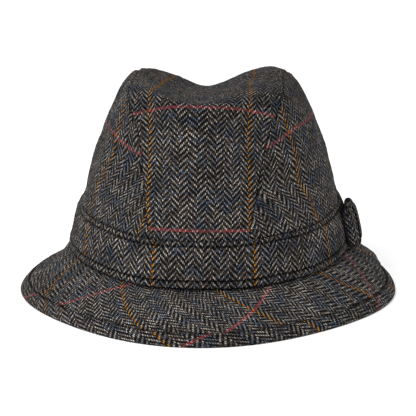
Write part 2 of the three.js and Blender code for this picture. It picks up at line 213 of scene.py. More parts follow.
class TrilbyBrimSizes(bpy.types.PropertyGroup):
    """The brim, its outline, its cloth and the strip that binds its edge."""

    width: length("Width", "Brim width from side to side", 0.239)
    length: length("Length", "Brim length from front to back", 0.267)
    widest_ahead: length("Widest ahead", "How far ahead of its middle the brim is widest", 0.0036)
    back_rise: length("Back rise", "How far the brim's edge is turned up at the back", 0.018)
    wall: length("Wall", "Thickness of the brim", 0.0024)
    tongue: length("Tongue", "Thickness of the brim inside the edge strip", 0.0012)
    strip_width: length("Strip width", "Width of the edge strip", 0.0085)
    strip_wall: length("Strip wall", "Thickness of the edge strip's cloth", 0.001)
    edge_give: length("Edge give", "How far the strip's nose is pressed flat at its foot", 0.00025)
    seam_gap: length("Seam gap", "Space between neighbouring layers", 0.0003)


class TrilbyBandSizes(bpy.types.PropertyGroup):
    """The band round the crown, the bow on it and the bow's wrap."""

    height: length("Height", "Height of the band", 0.0252)
    wall: length("Wall", "Thickness of the folded band", 0.0018)
    lift: length("Lift", "Height of the band above the crown's foot", 0.0008)
    bow_length: length("Bow length", "Length of the bow along the band", 0.032)
    bow_height: length("Bow height", "Height of the bow at its ends", 0.023)
    bow_waist_height: length("Waist height", "Height of the bow at its waist", 0.019)
    bow_thickness: length("Bow thickness", "Thickness of the bow at its ends", 0.0064)
    bow_waist_thickness: length("Waist thickness", "Thickness of the bow at its waist", 0.0034)
    bow_wall: length("Bow wall", "Thickness of the bow's cloth", 0.0012)
    bow_raise: length("Bow raise", "Height of the bow's middle above the band's lower edge", 0.0105)
    bow_from_front: turn("Bow place", "Angle of the bow from the front", 88)
    wrap_width: length("Wrap width", "Width of the wrap round the bow's waist", 0.010)
    wrap_wall: length("Wrap wall", "Thickness of the wrap", 0.0014)


class TrilbyCloth(bpy.types.PropertyGroup):
    """The tweed: its yarn spacing, its check and its yarn colours."""

    end_spacing: length("End spacing", "Distance between neighbouring upright yarns", 0.00084)
    pick_spacing: length("Pick spacing", "Distance between neighbouring level yarns", 0.00088)
    upright_check: length("Upright check", "Distance between the orange lines", 0.0605)
    level_check: length("Level check", "Distance between the red lines", 0.0739)
    light_yarn: colour("Light yarn", "The cream upright yarn", (0.40, 0.365, 0.325))
    grey_yarn: colour("Grey yarn", "The grey fibres in the upright yarn", (0.073, 0.068, 0.063))
    dark_yarn: colour("Dark yarn", "The nearly black level yarn", (0.0045, 0.004, 0.004))
    blue_fleck: colour("Blue fleck", "Blue fibres spun into both yarns", (0.052, 0.088, 0.145))
    brown_fleck: colour("Brown fleck", "Brown fibres spun into the dark yarn", (0.034, 0.023, 0.016))
    orange_line: colour("Orange line", "The orange yarn of the check", (0.55, 0.225, 0.025))
    red_line: colour("Red line", "The red yarn of the check", (0.19, 0.014, 0.02))


class TrilbyStageSizes(bpy.types.PropertyGroup):
    """The camera, the floor and the lights."""

    camera_side: turn("Camera side", "How far the camera stands to the wearer's left of the front", 4.5)
    camera_rise: turn("Camera rise", "How far the camera looks down", 13.1)
    camera_distance: length("Camera distance", "Distance from the camera to the hat", 1.3)
    aim_back: length("Aim back", "How far behind the brim's middle the camera aims", 0.0038)
    aim_height: length("Aim height", "Height that the camera aims at", 0.060)
    focal: bpy.props.FloatProperty(name="Lens", description="Focal length in millimetres", default=175.8)
    floor_colour: colour("Floor", "Colour of the pale floor", (0.93, 0.93, 0.93))


def through(rows, key, column, x):
    """A smooth curve through one column of a table: cubic pieces whose slope at each row is the
    mean of the two neighbouring rises, each weighted by the other's span."""
    at = np.array([row[key] for row in rows], dtype=float)
    value = np.array([row[column] for row in rows], dtype=float)
    span = np.diff(at)
    rise = np.diff(value) / span
    inner = (rise[:-1] * span[1:] + rise[1:] * span[:-1]) / (span[:-1] + span[1:])
    slope = np.concatenate(([rise[0]], inner, [rise[-1]]))
    i = np.clip(np.searchsorted(at, x, side="right") - 1, 0, len(at) - 2)
    t = (x - at[i]) / span[i]
    t2 = t * t
    t3 = t2 * t
    return (
        (2 * t3 - 3 * t2 + 1) * value[i]
        + (t3 - 2 * t2 + t) * span[i] * slope[i]
        + (3 * t2 - 2 * t3) * value[i + 1]
        + (t3 - t2) * span[i] * slope[i + 1]
    )


def within(rows, key, x):
    """The same values, held between a table's first and last row."""
    return np.clip(x, rows[0][key], rows[-1][key])


def smooth(start, end, x):
    """0 before the start, 1 after the end and a smooth S between them."""
    t = np.clip((x - start) / (end - start), 0, 1)
    return t * t * (3 - 2 * t)


def bell(x):
    """1 at 0, falling as e to the minus x squared."""
    return np.exp(-x * x)


def hump(distance, amount, reach):
    """A bell of this amount at distance 0, which falls to the amount over e at the reach."""
    return amount * bell(distance / reach)


def unit(vectors):
    """The same directions at length 1."""
    size = np.linalg.norm(vectors, axis=-1, keepdims=True)
    return vectors / np.maximum(size, 1e-12)


def crown_sizes():
    """The crown's controls."""
    return bpy.context.scene.trilby_crown


def brim_sizes():
    """The brim's controls."""
    return bpy.context.scene.trilby_brim


def band_sizes():
    """The band's and the bow's controls."""
    return bpy.context.scene.trilby_band


def cloth():
    """The cloth's controls."""
    return bpy.context.scene.trilby_cloth


def crown_shape(across, along):
    """The crown's outside before it is seated. Across and along run from -1 to 1, and the lower
    edge is the circle where both squared add up to 1. The reach and rise at a point are the
    side's, front's and back's sections, weighted by the squares of the direction's parts. The
    trough is a bell across the top, and each pinch is a bell that pushes the wall inward."""
    crown = crown_sizes()
    r = np.hypot(across, along)
    around = np.arctan2(across, -along)
    left = np.sin(around)
    front = np.cos(around)
    weights = {"side": left**2, "front": np.maximum(front, 0) ** 2, "back": np.minimum(front, 0) ** 2}
    reach = sum(weight * through(CROWN_SECTIONS, "at", way, r) for way, weight in weights.items())
    rise = sum(weight * through(CROWN_SECTIONS, "at", way + "_rise", r) for way, weight in weights.items())
    x = crown.width / 2 * reach * left
    y = -crown.length / 2 * reach * front
    middle = -crown.trough_offset * (1 - smooth(TROUGH_OFFSET_FROM, TROUGH_OFFSET_TO, np.abs(along)))
    side_share = np.where(x > middle, TROUGH_LEFT_SHARE, TROUGH_RIGHT_SHARE)
    spread = crown.trough_reach * side_share * through(TROUGH_SECTIONS, "at", "reach", along)
    depth = crown.trough_depth * through(TROUGH_SECTIONS, "at", "depth", along)
    z = crown.height * rise - depth * bell((x - middle) / spread)
    for side in (-1, 1):
        off_around = (around - side * crown.pinch_from_front) / crown.pinch_spread
        off = np.hypot(off_around, (r - PINCH_AT) / PINCH_SPREAD)
        x = x - crown.pinch_depth * bell(off) * left
        y = y + crown.pinch_depth * bell(off) * front
    return np.stack([x, y, z], axis=-1)


def seat(points):
    """The crown's own place: leaned forward about X, lifted and set over the brim."""
    crown = crown_sizes()
    x, y, z = points[..., 0], points[..., 1], points[..., 2]
    cos, sin = math.cos(crown.lean), math.sin(crown.lean)
    return np.stack(
        [x + crown.set_left, y * cos - z * sin + crown.set_back, y * sin + z * cos + crown.lift],
        axis=-1,
    )


def crown_normal(across, along):
    """The outward direction of the crown's cloth, turned level where the cloth ends."""
    dx = crown_shape(across + NORMAL_STEP, along) - crown_shape(across - NORMAL_STEP, along)
    dy = crown_shape(across, along + NORMAL_STEP) - crown_shape(across, along - NORMAL_STEP)
    normal = unit(np.cross(dx, dy))
    normal[..., 2] *= 1 - smooth(LEVEL_FROM, 1, np.hypot(across, along))
    return unit(normal)


def crown_point(across, along, out):
    """Points so far out from the crown's cloth, seated."""
    out = np.asarray(out, dtype=float)
    return seat(crown_shape(across, along) + crown_normal(across, along) * out[..., None])


def steps_between(points, axis):
    """Distances along one axis of a grid of points, added up from its start."""
    size = np.linalg.norm(np.diff(points, axis=axis), axis=-1)
    start = np.zeros_like(np.take(size, [0], axis=axis))
    return np.concatenate([start, np.cumsum(size, axis=axis)], axis=axis)


def undulation(points, reach, amount, seed):
    """Slow rise and fall of hand-made cloth: a sum of sine waves with seeded directions and
    phases, whose wavelengths lie round the reach."""
    rng = np.random.default_rng(seed)
    total = np.zeros(points.shape[:-1])
    for _ in range(WAVE_COUNT):
        direction = unit(rng.normal(size=3))
        wavelength = reach * rng.uniform(*WAVE_SHARES)
        total += np.sin(points @ direction * (2 * math.pi / wavelength) + rng.uniform(0, 2 * math.pi))
    return amount * total / WAVE_COUNT


def mesh_object(name, vertices, corners, uv, painted_shading):
    """A mesh object from vertices, four corners for each face and two cloth coordinates for each
    corner, in metres of cloth. Its faces are turned outward by the sign of its volume. The painted
    shading of a vertex scales its colour: 1 on open cloth, less where painted shade darkens a
    crease, and a little more where painted light makes the cloth paler."""
    corners = np.asarray(corners, dtype=np.int32)
    uv = np.asarray(uv, dtype=float)
    a, b, c, d = (vertices[corners[:, k]] for k in range(4))
    volume = sum(np.einsum("ij,ij->i", a, np.cross(p, q)).sum() for p, q in ((b, c), (c, d)))
    if volume < 0:
        corners = corners[:, ::-1]
        uv = uv[:, ::-1]
    mesh = bpy.data.meshes.new(name)
    mesh.vertices.add(len(vertices))
    mesh.vertices.foreach_set("co", vertices.astype(np.float32).ravel())
    mesh.loops.add(corners.size)
    mesh.loops.foreach_set("vertex_index", np.ascontiguousarray(corners).ravel())
    mesh.polygons.add(len(corners))
    mesh.polygons.foreach_set("loop_start", np.arange(0, corners.size, 4, dtype=np.int32))
    mesh.polygons.foreach_set("use_smooth", np.ones(len(corners), dtype=bool))
    layer = mesh.uv_layers.new(name="cloth")
    layer.data.foreach_set("uv", np.ascontiguousarray(uv, dtype=np.float32).ravel())
    # Painted light and shade, stored on each vertex to scale the cloth's colour.
    painted_light_and_shade = mesh.attributes.new("painted_light_and_shade", "FLOAT", "POINT")
    painted_light_and_shade.data.foreach_set("value", np.clip(painted_shading, *PAINTED_SHADING_LIMITS).astype(np.float32).ravel())
    mesh.update(calc_edges=True)
    mesh.validate()
    thing = bpy.data.objects.new(name, mesh)
    bpy.context.scene.collection.objects.link(thing)
    return thing


def grid_corners(rows, columns):
    """The four corner indices of each face of a grid with so many rows and columns of faces."""
    j, i = np.meshgrid(np.arange(rows), np.arange(columns), indexing="ij")
    at = (j * (columns + 1) + i).ravel()
    return np.stack([at, at + 1, at + columns + 2, at + columns + 1], axis=1)


def nap(shape, seed):
    """The cloth's own grain on its surface: a seeded small height at each point."""
    return np.random.default_rng(seed).normal(size=shape) * NAP


def thick_sheet(name, outer, inner, uv, painted_shading):
    """A closed sheet: an outer and an inner grid of points, joined round their four edges. The
    edge faces repeat the cloth coordinates of the outer grid."""
    rows, columns = outer.shape[0] - 1, outer.shape[1] - 1
    count = (rows + 1) * (columns + 1)
    front = grid_corners(rows, columns)
    index = np.arange(count).reshape(rows + 1, columns + 1)
    rim = np.concatenate([index[0, :-1], index[:-1, -1], index[-1, :0:-1], index[:0:-1, 0]])
    after = np.roll(rim, -1)
    edge = np.stack([after, rim, rim + count, after + count], axis=1)
    corners = np.concatenate([front, front[:, ::-1] + count, edge])
    flat = np.concatenate([uv.reshape(-1, 2), uv.reshape(-1, 2)])
    vertices = np.concatenate([outer.reshape(-1, 3), inner.reshape(-1, 3)])
    painted_shadings = np.concatenate([painted_shading.ravel(), np.ones(count)])
    return mesh_object(name, vertices, corners, flat[corners], painted_shadings)


def hoop(name, points, uv, painted_shading):
    """A closed outline carried round a loop. The points are (steps, outline, 3) and close both
    ways, and the cloth coordinates have one step and one outline place more than the points."""
    steps, size = points.shape[:2]
    k, i = np.meshgrid(np.arange(steps), np.arange(size), indexing="ij")
    k, i = k.ravel(), i.ravel()
    k2, i2 = (k + 1) % steps, (i + 1) % size
    corners = np.stack([k * size + i, k * size + i2, k2 * size + i2, k2 * size + i], axis=1)
    corner_uv = np.stack([uv[k, i], uv[k, i + 1], uv[k + 1, i + 1], uv[k + 1, i]], axis=1)
    painted_shadings = np.broadcast_to(painted_shading, (steps, size))
    return mesh_object(name, points.reshape(-1, 3), corners, corner_uv, painted_shadings)


# Panels of the crown.

CENTRE_ROWS = 260
CENTRE_COLUMNS = 84
SIDE_ROWS = 200
SIDE_COLUMNS = 72
TOP_ROWS_TO = 0.38
TOP_ENDS_AT = 0.45
SEAM_HALF_GAP = 0.00004

# How much closer together lines of points lie towards a panel's or the bow's edges.
CROWDING = 0.8
SIDE_CROWDING = 0.65

# How near a side panel's rows come to its two pointed ends.
SIDE_END = 0.975

# Between these places from the front to the back, the centre panel's length along its cloth
# turns from counting up the front to counting down to the back's lower edge.
EVEN_FROM = -0.3
EVEN_TO = 0.6

# The cloth beside a seam stands up this many seam widths away, over this many.
PUFF_AT = 3.2
PUFF_SPREAD = 2.2

# How far from a seam the cloth's waves and its grain start.
WAVES_FROM_SEAM = 0.006
GRAIN_FROM_SEAM = 0.002

# The cloth swells out over the band's upper edge and is pressed in behind it.
FOOT_SWELL = 0.0011
FOOT_SWELL_REACH = 0.0022
FOOT_PRESS = 0.0003
FOOT_PRESS_REACH = 0.001

# How much painted shade darkens the top, and the height that this comes in over.
TOP_PAINTED_SHADE = 0.15
TOP_PAINTED_SHADE_FROM = 0.082
TOP_PAINTED_SHADE_TO = 0.100

# How the tweed was pulled when the hat was blocked: half the distance between a pair of orange
# lines on the cloth, and where that line lies on the panel at a height up its wall.
CENTRE_LINE = 0.03025
CENTRE_LINE_SECTIONS = table(
    "at right left",
    (0.037, 0.0314, 0.0316),
    (0.066, 0.0346, 0.0321),
    (0.092, 0.0379, 0.0331),
    (0.112, 0.0397, 0.035),
    (0.135, 0.0342, 0.0302),
    (0.194, 0.0315, 0.0301),
)
SIDE_LINE = 0.052
SIDE_LINE_SECTIONS = table(
    "at right left",
    (0.022, 0.0475, 0.0536),
    (0.042, 0.047, 0.0536),
    (0.055, 0.0502, 0.0578),
    (0.069, 0.053, 0.0523),
    (0.084, 0.0455, 0.0488),
    (0.104, 0.04, 0.044),
)

# How far the level lines droop towards a side panel's ends, and from where to where.
SIDE_DROOP = 0.0068
SIDE_DROOP_FROM = 0.035
SIDE_DROOP_TO = 0.078

# The table of lengths on the crown's wall runs from its lower edge up to this share.
WALL_TABLE_TO = 0.35
WALL_TABLE_STEPS = 66


def row_share(t):
    """Rows of a panel, closer together on the walls than on the top."""
    size = np.abs(t)
    near = size * TOP_ENDS_AT / TOP_ROWS_TO
    far = TOP_ENDS_AT + (size - TOP_ROWS_TO) * (1 - TOP_ENDS_AT) / (1 - TOP_ROWS_TO)
    return np.sign(t) * np.where(size < TOP_ROWS_TO, near, far)


def crowded(t, amount):
    """Steps from -1 to 1, closer together towards both ends by a quarter sine wave."""
    return (1 - amount) * t + amount * np.sin(t * math.pi / 2)


def seam_across(share_along):
    """Half of the centre panel's width at a row, as a share of half the crown's width."""
    crown = crown_sizes()
    width = through(CENTRE_PANEL_SECTIONS, "at", "width", np.abs(share_along))
    return crown.centre_panel / crown.width * width


def seam_relief(distance):
    """How far the cloth stands out at a distance from a seam: a bell that dips at the seam and a
    wider, lower one that stands up beside it, where the turnings lie underneath."""
    crown = crown_sizes()
    width = crown.seam_width
    dip = hump(distance, crown.seam_depth, width)
    puff = hump(distance - PUFF_AT * width, crown.seam_puff, PUFF_SPREAD * width)
    return puff - dip


def foot_relief(height):
    """The crown's cloth above the band: it swells out just over the band's upper edge and is
    pressed in behind it."""
    band = band_sizes()
    top = band.lift + band.height
    swell = hump(height - top - FOOT_SWELL_REACH, FOOT_SWELL, FOOT_SWELL_REACH)
    press = FOOT_PRESS * (1 - smooth(top - FOOT_PRESS_REACH, top + FOOT_PRESS_REACH, height))
    return swell - press


def crown_relief(points, distance, height, seed):
    """Every small rise and fall of a crown panel added together."""
    return (
        seam_relief(distance)
        + foot_relief(height)
        + undulation(points, reach=0.045, amount=0.0010, seed=12)
        + undulation(points, reach=0.018, amount=0.00045, seed=seed) * smooth(0.0, WAVES_FROM_SEAM, distance)
        + undulation(points, reach=0.006, amount=0.00016, seed=seed + 1)
        + nap(height.shape, seed) * smooth(0.0, GRAIN_FROM_SEAM, distance)
    )


def crown_painted_shade(distance, height):
    """Painted shade on the crown's cloth: dark in its seams and where it meets the band's upper
    edge, and a little darker on its top."""
    band = band_sizes()
    top = band.lift + band.height
    # Painted shade in the seam valleys and in the crease over the band's upper edge.
    seam = hump(distance, amount=0.55, reach=0.0007)
    foot = hump(height - top - 0.0002, amount=0.8, reach=0.0009)
    return (1 - np.maximum(seam, foot)) * (1 - TOP_PAINTED_SHADE * smooth(TOP_PAINTED_SHADE_FROM, TOP_PAINTED_SHADE_TO, height))


def crown_centre_cloth():
    """The panel from the front over the top to the back. Rows bend with the crown's rim, and
    columns run from the front to the back. Its cloth coordinates are the distance across a row
    from the panel's middle, in shares of where the orange line lies, and the distance along a
    column from the front's lower edge. Over the top this turns into the middle column's length
    less the distance from the back's lower edge."""
    crown = crown_sizes()
    t = np.linspace(-1, 1, CENTRE_ROWS + 1)[:, None]
    c = crowded(np.linspace(-1, 1, CENTRE_COLUMNS + 1), CROWDING)[None, :]
    row = row_share(t)
    seam = seam_across(row) - SEAM_HALF_GAP / (crown.width / 2)
    across = c * seam
    bend = smooth(0, TOP_ENDS_AT, np.abs(row)) * (seam**2 - across**2)
    along = np.sign(row) * np.sqrt(row**2 * (1 - seam**2) + bend)
    shape = crown_shape(across, along)
    along_row = steps_between(shape, 1)
    middle = along_row[:, CENTRE_COLUMNS // 2][:, None]
    u = along_row - middle
    v = steps_between(shape, 0)
    v = v - smooth(EVEN_FROM, EVEN_TO, t) * (v[-1:] - v[-1, CENTRE_COLUMNS // 2])
    half = np.where(u < 0, middle, along_row[:, -1:] - middle)
    distance = half - np.abs(u)
    up = within(CENTRE_LINE_SECTIONS, "at", v)
    line = np.where(
        u < 0,
        through(CENTRE_LINE_SECTIONS, "at", "right", up),
        through(CENTRE_LINE_SECTIONS, "at", "left", up),
    )
    outer = crown_point(across, along, crown_relief(shape, distance, shape[..., 2], 11))
    inner = crown_point(across, along, np.full(across.shape, -crown.wall))
    uv = np.stack([u * CENTRE_LINE / line, v], axis=-1)
    return thick_sheet("crown_centre_cloth", outer, inner, uv, crown_painted_shade(distance, shape[..., 2]))


def wall_lengths():
    """Lengths on the crown's wall as even grids over the angle from the front and the distance
    from the top's middle: the length up the wall from its lower edge, and the length round it
    from the middle of the back."""
    angle = np.radians(np.arange(-180, 181))
    r = np.linspace(1, WALL_TABLE_TO, WALL_TABLE_STEPS)
    shape = crown_shape(np.sin(angle)[:, None] * r, -np.cos(angle)[:, None] * r)
    up = steps_between(shape, 1)
    round_wall = steps_between(shape, 0)
    return angle, r, up, round_wall


def look_up(angle, r, values, at_angle, at_r):
    """Values between the places of an even grid over angle and distance, by straight lines. A
    place on the grid's last line counts as just before it."""
    before_end = 1.001
    a = np.clip((at_angle - angle[0]) / (angle[1] - angle[0]), 0, len(angle) - before_end)
    b = np.clip((at_r - r[0]) / (r[1] - r[0]), 0, len(r) - before_end)
    i, j = a.astype(int), b.astype(int)
    s, t = a - i, b - j
    return (
        values[i, j] * (1 - s) * (1 - t)
        + values[i + 1, j] * s * (1 - t)
        + values[i, j + 1] * (1 - s) * t
        + values[i + 1, j + 1] * s * t
    )


def crown_side_cloth(side, name):
    """A side panel is a lens between the seam and the crown's lower edge. Its cloth coordinates
    are the length round the wall from the side's middle, in shares of where the orange line
    lies, and the length up from the lower edge, which droops a little towards its two ends."""
    crown = crown_sizes()
    t = np.linspace(-SIDE_END, SIDE_END, SIDE_ROWS + 1)[:, None]
    row = row_share(t)
    seam = seam_across(row) + SEAM_HALF_GAP / (crown.width / 2)
    seam_along = row * np.sqrt(1 - seam**2)
    corner = np.arccos(seam_across(np.array(1.0)))
    c = np.linspace(0, 1, SIDE_COLUMNS + 1)[None, :]
    c = (1 - SIDE_CROWDING) * c + SIDE_CROWDING * (1 - np.cos(c * math.pi / 2))
    across = side * (seam + (np.cos(corner * row) - seam) * c)
    along = seam_along + (np.sin(corner * row) - seam_along) * c
    shape = crown_shape(across, along)
    distance = steps_between(shape, 1)
    angle, r, up, round_wall = wall_lengths()
    at_angle = np.arctan2(across, -along)
    at_r = np.hypot(across, along)
    v = look_up(angle, r, up, at_angle, at_r)
    u = look_up(angle, r, round_wall, at_angle, at_r)
    u = u - look_up(angle, r, round_wall, np.full(at_r.shape, side * math.pi / 2), at_r)
    outer = crown_point(across, along, crown_relief(shape, distance, shape[..., 2], 23 + side))
    inner = crown_point(across, along, np.full(across.shape, -crown.wall))
    column = "left" if side > 0 else "right"
    line = through(SIDE_LINE_SECTIONS, "at", column, within(SIDE_LINE_SECTIONS, "at", v))
    drooped = v + SIDE_DROOP * smooth(SIDE_DROOP_FROM, SIDE_DROOP_TO, np.abs(u))
    uv = np.stack([u * SIDE_LINE / line, drooped], axis=-1)
    return thick_sheet(name, outer, inner, uv, crown_painted_shade(distance, shape[..., 2]))


# The band and its bow.

RING_STEPS = 420

# How much the band's cloth was pulled round the crown, and how its upright lines fan out.
BAND_PULL = 0.974
BAND_FAN = 0.05
BAND_FAN_REACH = 0.12

# The stitching along the band's edges leaves a roll below and above it. The lower roll hangs a
# little over the brim.
STITCH_DEPTH = 0.0011
STITCH_WIDTH = 0.0005
LOWER_ROLL = 0.0042
LOWER_ROLL_OUT = 0.0006
UPPER_ROLL = 0.0027
BAND_OVERHANG = 0.0009

# The band's back lies at this share of the gap, its face swells and its corners are rounded.
BAND_BACK_SHARE = 0.2
BAND_SWELL = 0.0007
BAND_CORNER = 0.0010

# The waves that the band makes round the crown.
BAND_WAVES = table(
    "height turns start",
    (0.00035, 5, 0.6),
    (0.00025, 9, 2.1),
)

# How far the band's upper edge is drawn in, and over which height.
SNUG = 0.0009
SNUG_HEIGHT = 0.007

# The band's back shows the cloth this far above that on its face. The back is what lies within
# this share of the band's thickness.
BACK_CLOTH_AT = 0.05
BACK_SHARE = 0.4

# Where a place on the crown's wall is looked for, as shares of its reach, and in how many steps.
WALL_FROM = 0.75
WALL_TO = 1.05
HALVINGS = 30


def wall_point(angle, height, out):
    """Points of the crown's lower wall at a height above its edge, a little out from the cloth.
    The place on the wall is found by halving the range again and again, for all points at once."""
    angle, height, out = np.broadcast_arrays(angle, height, out)
    low = np.full(angle.shape, WALL_FROM)
    high = np.full(angle.shape, WALL_TO)
    for _ in range(HALVINGS):
        r = (low + high) / 2
        above = crown_shape(r * np.sin(angle), -r * np.cos(angle))[..., 2] > height
        low = np.where(above, r, low)
        high = np.where(above, high, r)
    return crown_point(low * np.sin(angle), -low * np.cos(angle), out)


def folded_outline(low, high, inner, outer, sides, corner, stitched, face_steps, corner_steps=5):
    """The outline of a folded strip seen end on, as (height, out) pairs: two faces joined by
    round corners, the inner ones smaller. The outer face swells by a shallow arc whose rise is
    sides, and is drawn in by a narrow bell at each stitched height, which leaves a roll along
    each edge."""
    half_turn = np.linspace(0, math.pi / 2, corner_steps)
    sin, cos = np.sin(half_turn), np.cos(half_turn)
    faces = np.linspace(low + corner, high - corner, face_steps)
    swell = sides * (1 - (2 * (faces - low) / (high - low) - 1) ** 2)
    for height in stitched:
        swell = swell - hump(faces - height, STITCH_DEPTH, STITCH_WIDTH)
    small = min(corner, (outer - inner) / 2) * 0.5
    back = faces[::-2]
    outer_face = (faces, outer + swell)
    upper_outer = (high - corner + corner * sin, outer - corner + corner * cos)
    upper_inner = (high - small + small * cos, inner + small - small * sin)
    inner_face = (back, np.full(len(back), inner))
    lower_inner = (low + small - small * sin, inner + small - small * cos)
    lower_outer = (low + corner - corner * cos, outer - corner + corner * sin)
    parts = [outer_face, upper_outer, upper_inner, inner_face, lower_inner, lower_outer]
    parts = [np.stack(part, axis=1) for part in parts]
    parts[0], parts[3] = parts[0][1:-1], parts[3][1:-1]
    return np.concatenate(parts)


def bow_middle():
    """The bow's angle from the front, and the length round the crown for each radian there."""
    band, crown = band_sizes(), crown_sizes()
    middle = band.bow_from_front
    per_turn = math.hypot(crown.width / 2 * math.cos(middle), crown.length / 2 * math.sin(middle))
    return middle, per_turn


def bow_surround(angle, height):
    """How far places on the band lie beside the bow, and how far above or below it."""
    band = band_sizes()
    middle, per_turn = bow_middle()
    beside = np.maximum(np.abs(angle - middle) * per_turn - band.bow_length / 2, 0)
    above = np.maximum(np.abs(height - band.lift - band.bow_raise) - band.bow_height / 2, 0)
    return beside, above


def band_painted_shade(outline, angle, heights, stitched):
    """Painted shade on the band: dark in its stitched creases, along its two edges and in a painted shadow
    beside the bow.
    """
    up = outline[:, 0]
    band = band_sizes()
    low, high = band.lift - BAND_OVERHANG, band.lift + band.height
    crease = sum(hump(up - height, amount=0.82, reach=0.0007) for height in stitched)
    edge = hump(up - low, amount=0.6, reach=0.0007) + hump(up - high, amount=0.35, reach=0.0004)
    beside, above = bow_surround(angle[:, None], heights)
    # A painted shadow round the bow.
    under_bow = hump(np.hypot(beside, above), amount=0.93, reach=0.0026)
    return 1 - np.maximum(np.maximum(crease, edge)[None, :], under_bow)


def hat_band_cloth():
    """The folded band: a swelling outline carried round the crown's wall. It waves slightly, and
    its upper edge lies closer to the crown. Cloth coordinates are the length round it from the
    front and the height up its face."""
    band = band_sizes()
    gap = brim_sizes().seam_gap
    face_out = gap + band.wall
    low, high = band.lift - BAND_OVERHANG, band.lift + band.height
    stitched = (low + LOWER_ROLL, high - UPPER_ROLL)
    outline = folded_outline(
        low, high, gap * BAND_BACK_SHARE, face_out, BAND_SWELL, BAND_CORNER, stitched, face_steps=80,
    )
    angle = np.linspace(-math.pi, math.pi, RING_STEPS, endpoint=False)
    wave = sum(row["height"] * np.sin(row["turns"] * angle + row["start"]) for row in BAND_WAVES)
    heights = outline[None, :, 0] + wave[:, None]
    points = wall_point(angle[:, None], heights, outline[None, :, 1])
    dents = undulation(points, reach=0.022, amount=0.0005, seed=31)
    dents = dents + undulation(points, reach=0.005, amount=0.00018, seed=32)
    dents = dents + nap(heights.shape, 33)
    face = smooth(gap, face_out, outline[:, 1])[None, :]
    outward = unit(points * np.array([1.0, 1.0, 0.0]))
    roll = hump(outline[:, 0] - low - LOWER_ROLL / 2, LOWER_ROLL_OUT, LOWER_ROLL / 2)[None, :]
    snug = SNUG * smooth(high - SNUG_HEIGHT, high, outline[:, 0])[None, :]
    points = points + outward * ((dents + roll - snug) * face)[..., None]
    round_angle = np.linspace(-math.pi, math.pi, RING_STEPS + 1)
    base = wall_point(round_angle, band.lift + band.height / 2, face_out)
    u = steps_between(base, 0)
    u = u - u[RING_STEPS // 2]
    loop = np.concatenate([outline, outline[:1]])
    v = loop[:, 0] + np.where(loop[:, 1] < gap + band.wall * BACK_SHARE, BACK_CLOTH_AT, 0.0)
    fan = BAND_FAN * BAND_FAN_REACH * np.tanh(u / BAND_FAN_REACH)
    eased = BAND_PULL * u[:, None] - fan[:, None] * (loop[None, :, 0] / band.height - 0.5)
    uv = np.stack(np.broadcast_arrays(eased, v[None, :]), axis=-1)
    return hoop("hat_band_cloth", points, uv, band_painted_shade(outline, angle, heights, stitched))


# The bow narrows to its waist over this length.
WAIST_REACH = 0.007

# Points up the bow, along one of its faces, round one of its ends, round the wrap, across the wrap
# and over a rounded edge.
BOW_ROWS = 41
BOW_FACE_STEPS = 38
BOW_END_STEPS = 17
WRAP_STEPS = 64
WRAP_ROWS = 13
LIP_STEPS = 5

# The bow is thickest in its middle and falls off by this share, to this power, at its edges. Its
# hem lies at a share of its half height.
BOW_FULLNESS = 1.1
BOW_FALL = 0.75
BOW_FALL_POWER = 5
BOW_HEM = 0.8

# How far the rounded edges of the bow and of the wrap stand out.
BOW_NOSE = 0.0004
WRAP_NOSE = 0.0005

# The wrap's swell, the power that makes its oval flat, and where its cloth starts.
WRAP_SWELL = 0.0004
WRAP_POWER = 3.2
WRAP_CLOTH_FROM = 0.02


def bow_point(along, above, out):
    """The bow follows the band: points so far along it from its middle, so high above its middle
    and so far out from the band's face."""
    band, gap = band_sizes(), brim_sizes().seam_gap
    middle, per_turn = bow_middle()
    return wall_point(middle + along / per_turn, band.lift + band.bow_raise + above, gap + band.wall + out)


def pinched(full, waist, along):
    """A size that narrows to its waist by a bell round the bow's middle."""
    return full - (full - waist) * bell(along / WAIST_REACH)


def bow_half_height(along):
    """Half of the bow's height at a place along it, pinched at its waist."""
    band = band_sizes()
    return pinched(band.bow_height, band.bow_waist_height, along) / 2


def bow_half_thickness(along):
    """Half of the bow's thickness at a place along it, pinched at its waist."""
    band = band_sizes()
    return pinched(band.bow_thickness, band.bow_waist_thickness, along) / 2


def bow_stand(along):
    """How far the bow's middle plane stands off the band: by the wrap's cloth at the waist and
    by little at the ends."""
    band, gap = band_sizes(), brim_sizes().seam_gap
    wrap = band.wrap_wall + gap
    lifted = wrap * (1 - smooth(band.wrap_width / 2 + 0.001, band.wrap_width, np.abs(along)))
    return gap + bow_half_thickness(along) + lifted


def strip_across(rows, wall, nose):
    """A flat strip of cloth cut across: its outer face, a round edge, its inner face and the
    other round edge. Gives each point's share of the half width, its depth under the outer face
    by half a cosine over each edge, and how far it stands out there, by a sine."""
    lip = np.linspace(0, math.pi, LIP_STEPS + 2)[1:-1]
    flat, edge = np.zeros(len(rows)), np.ones(LIP_STEPS)
    width_share = np.concatenate([rows, edge, rows[::-1], -edge])
    inward, outward = wall / 2 * (1 - np.cos(lip)), wall / 2 * (1 + np.cos(lip))
    depth = np.concatenate([flat, inward, flat + wall, outward])
    beyond = np.concatenate([flat, nose * np.sin(lip), flat, -nose * np.sin(lip)])
    return width_share, depth, beyond


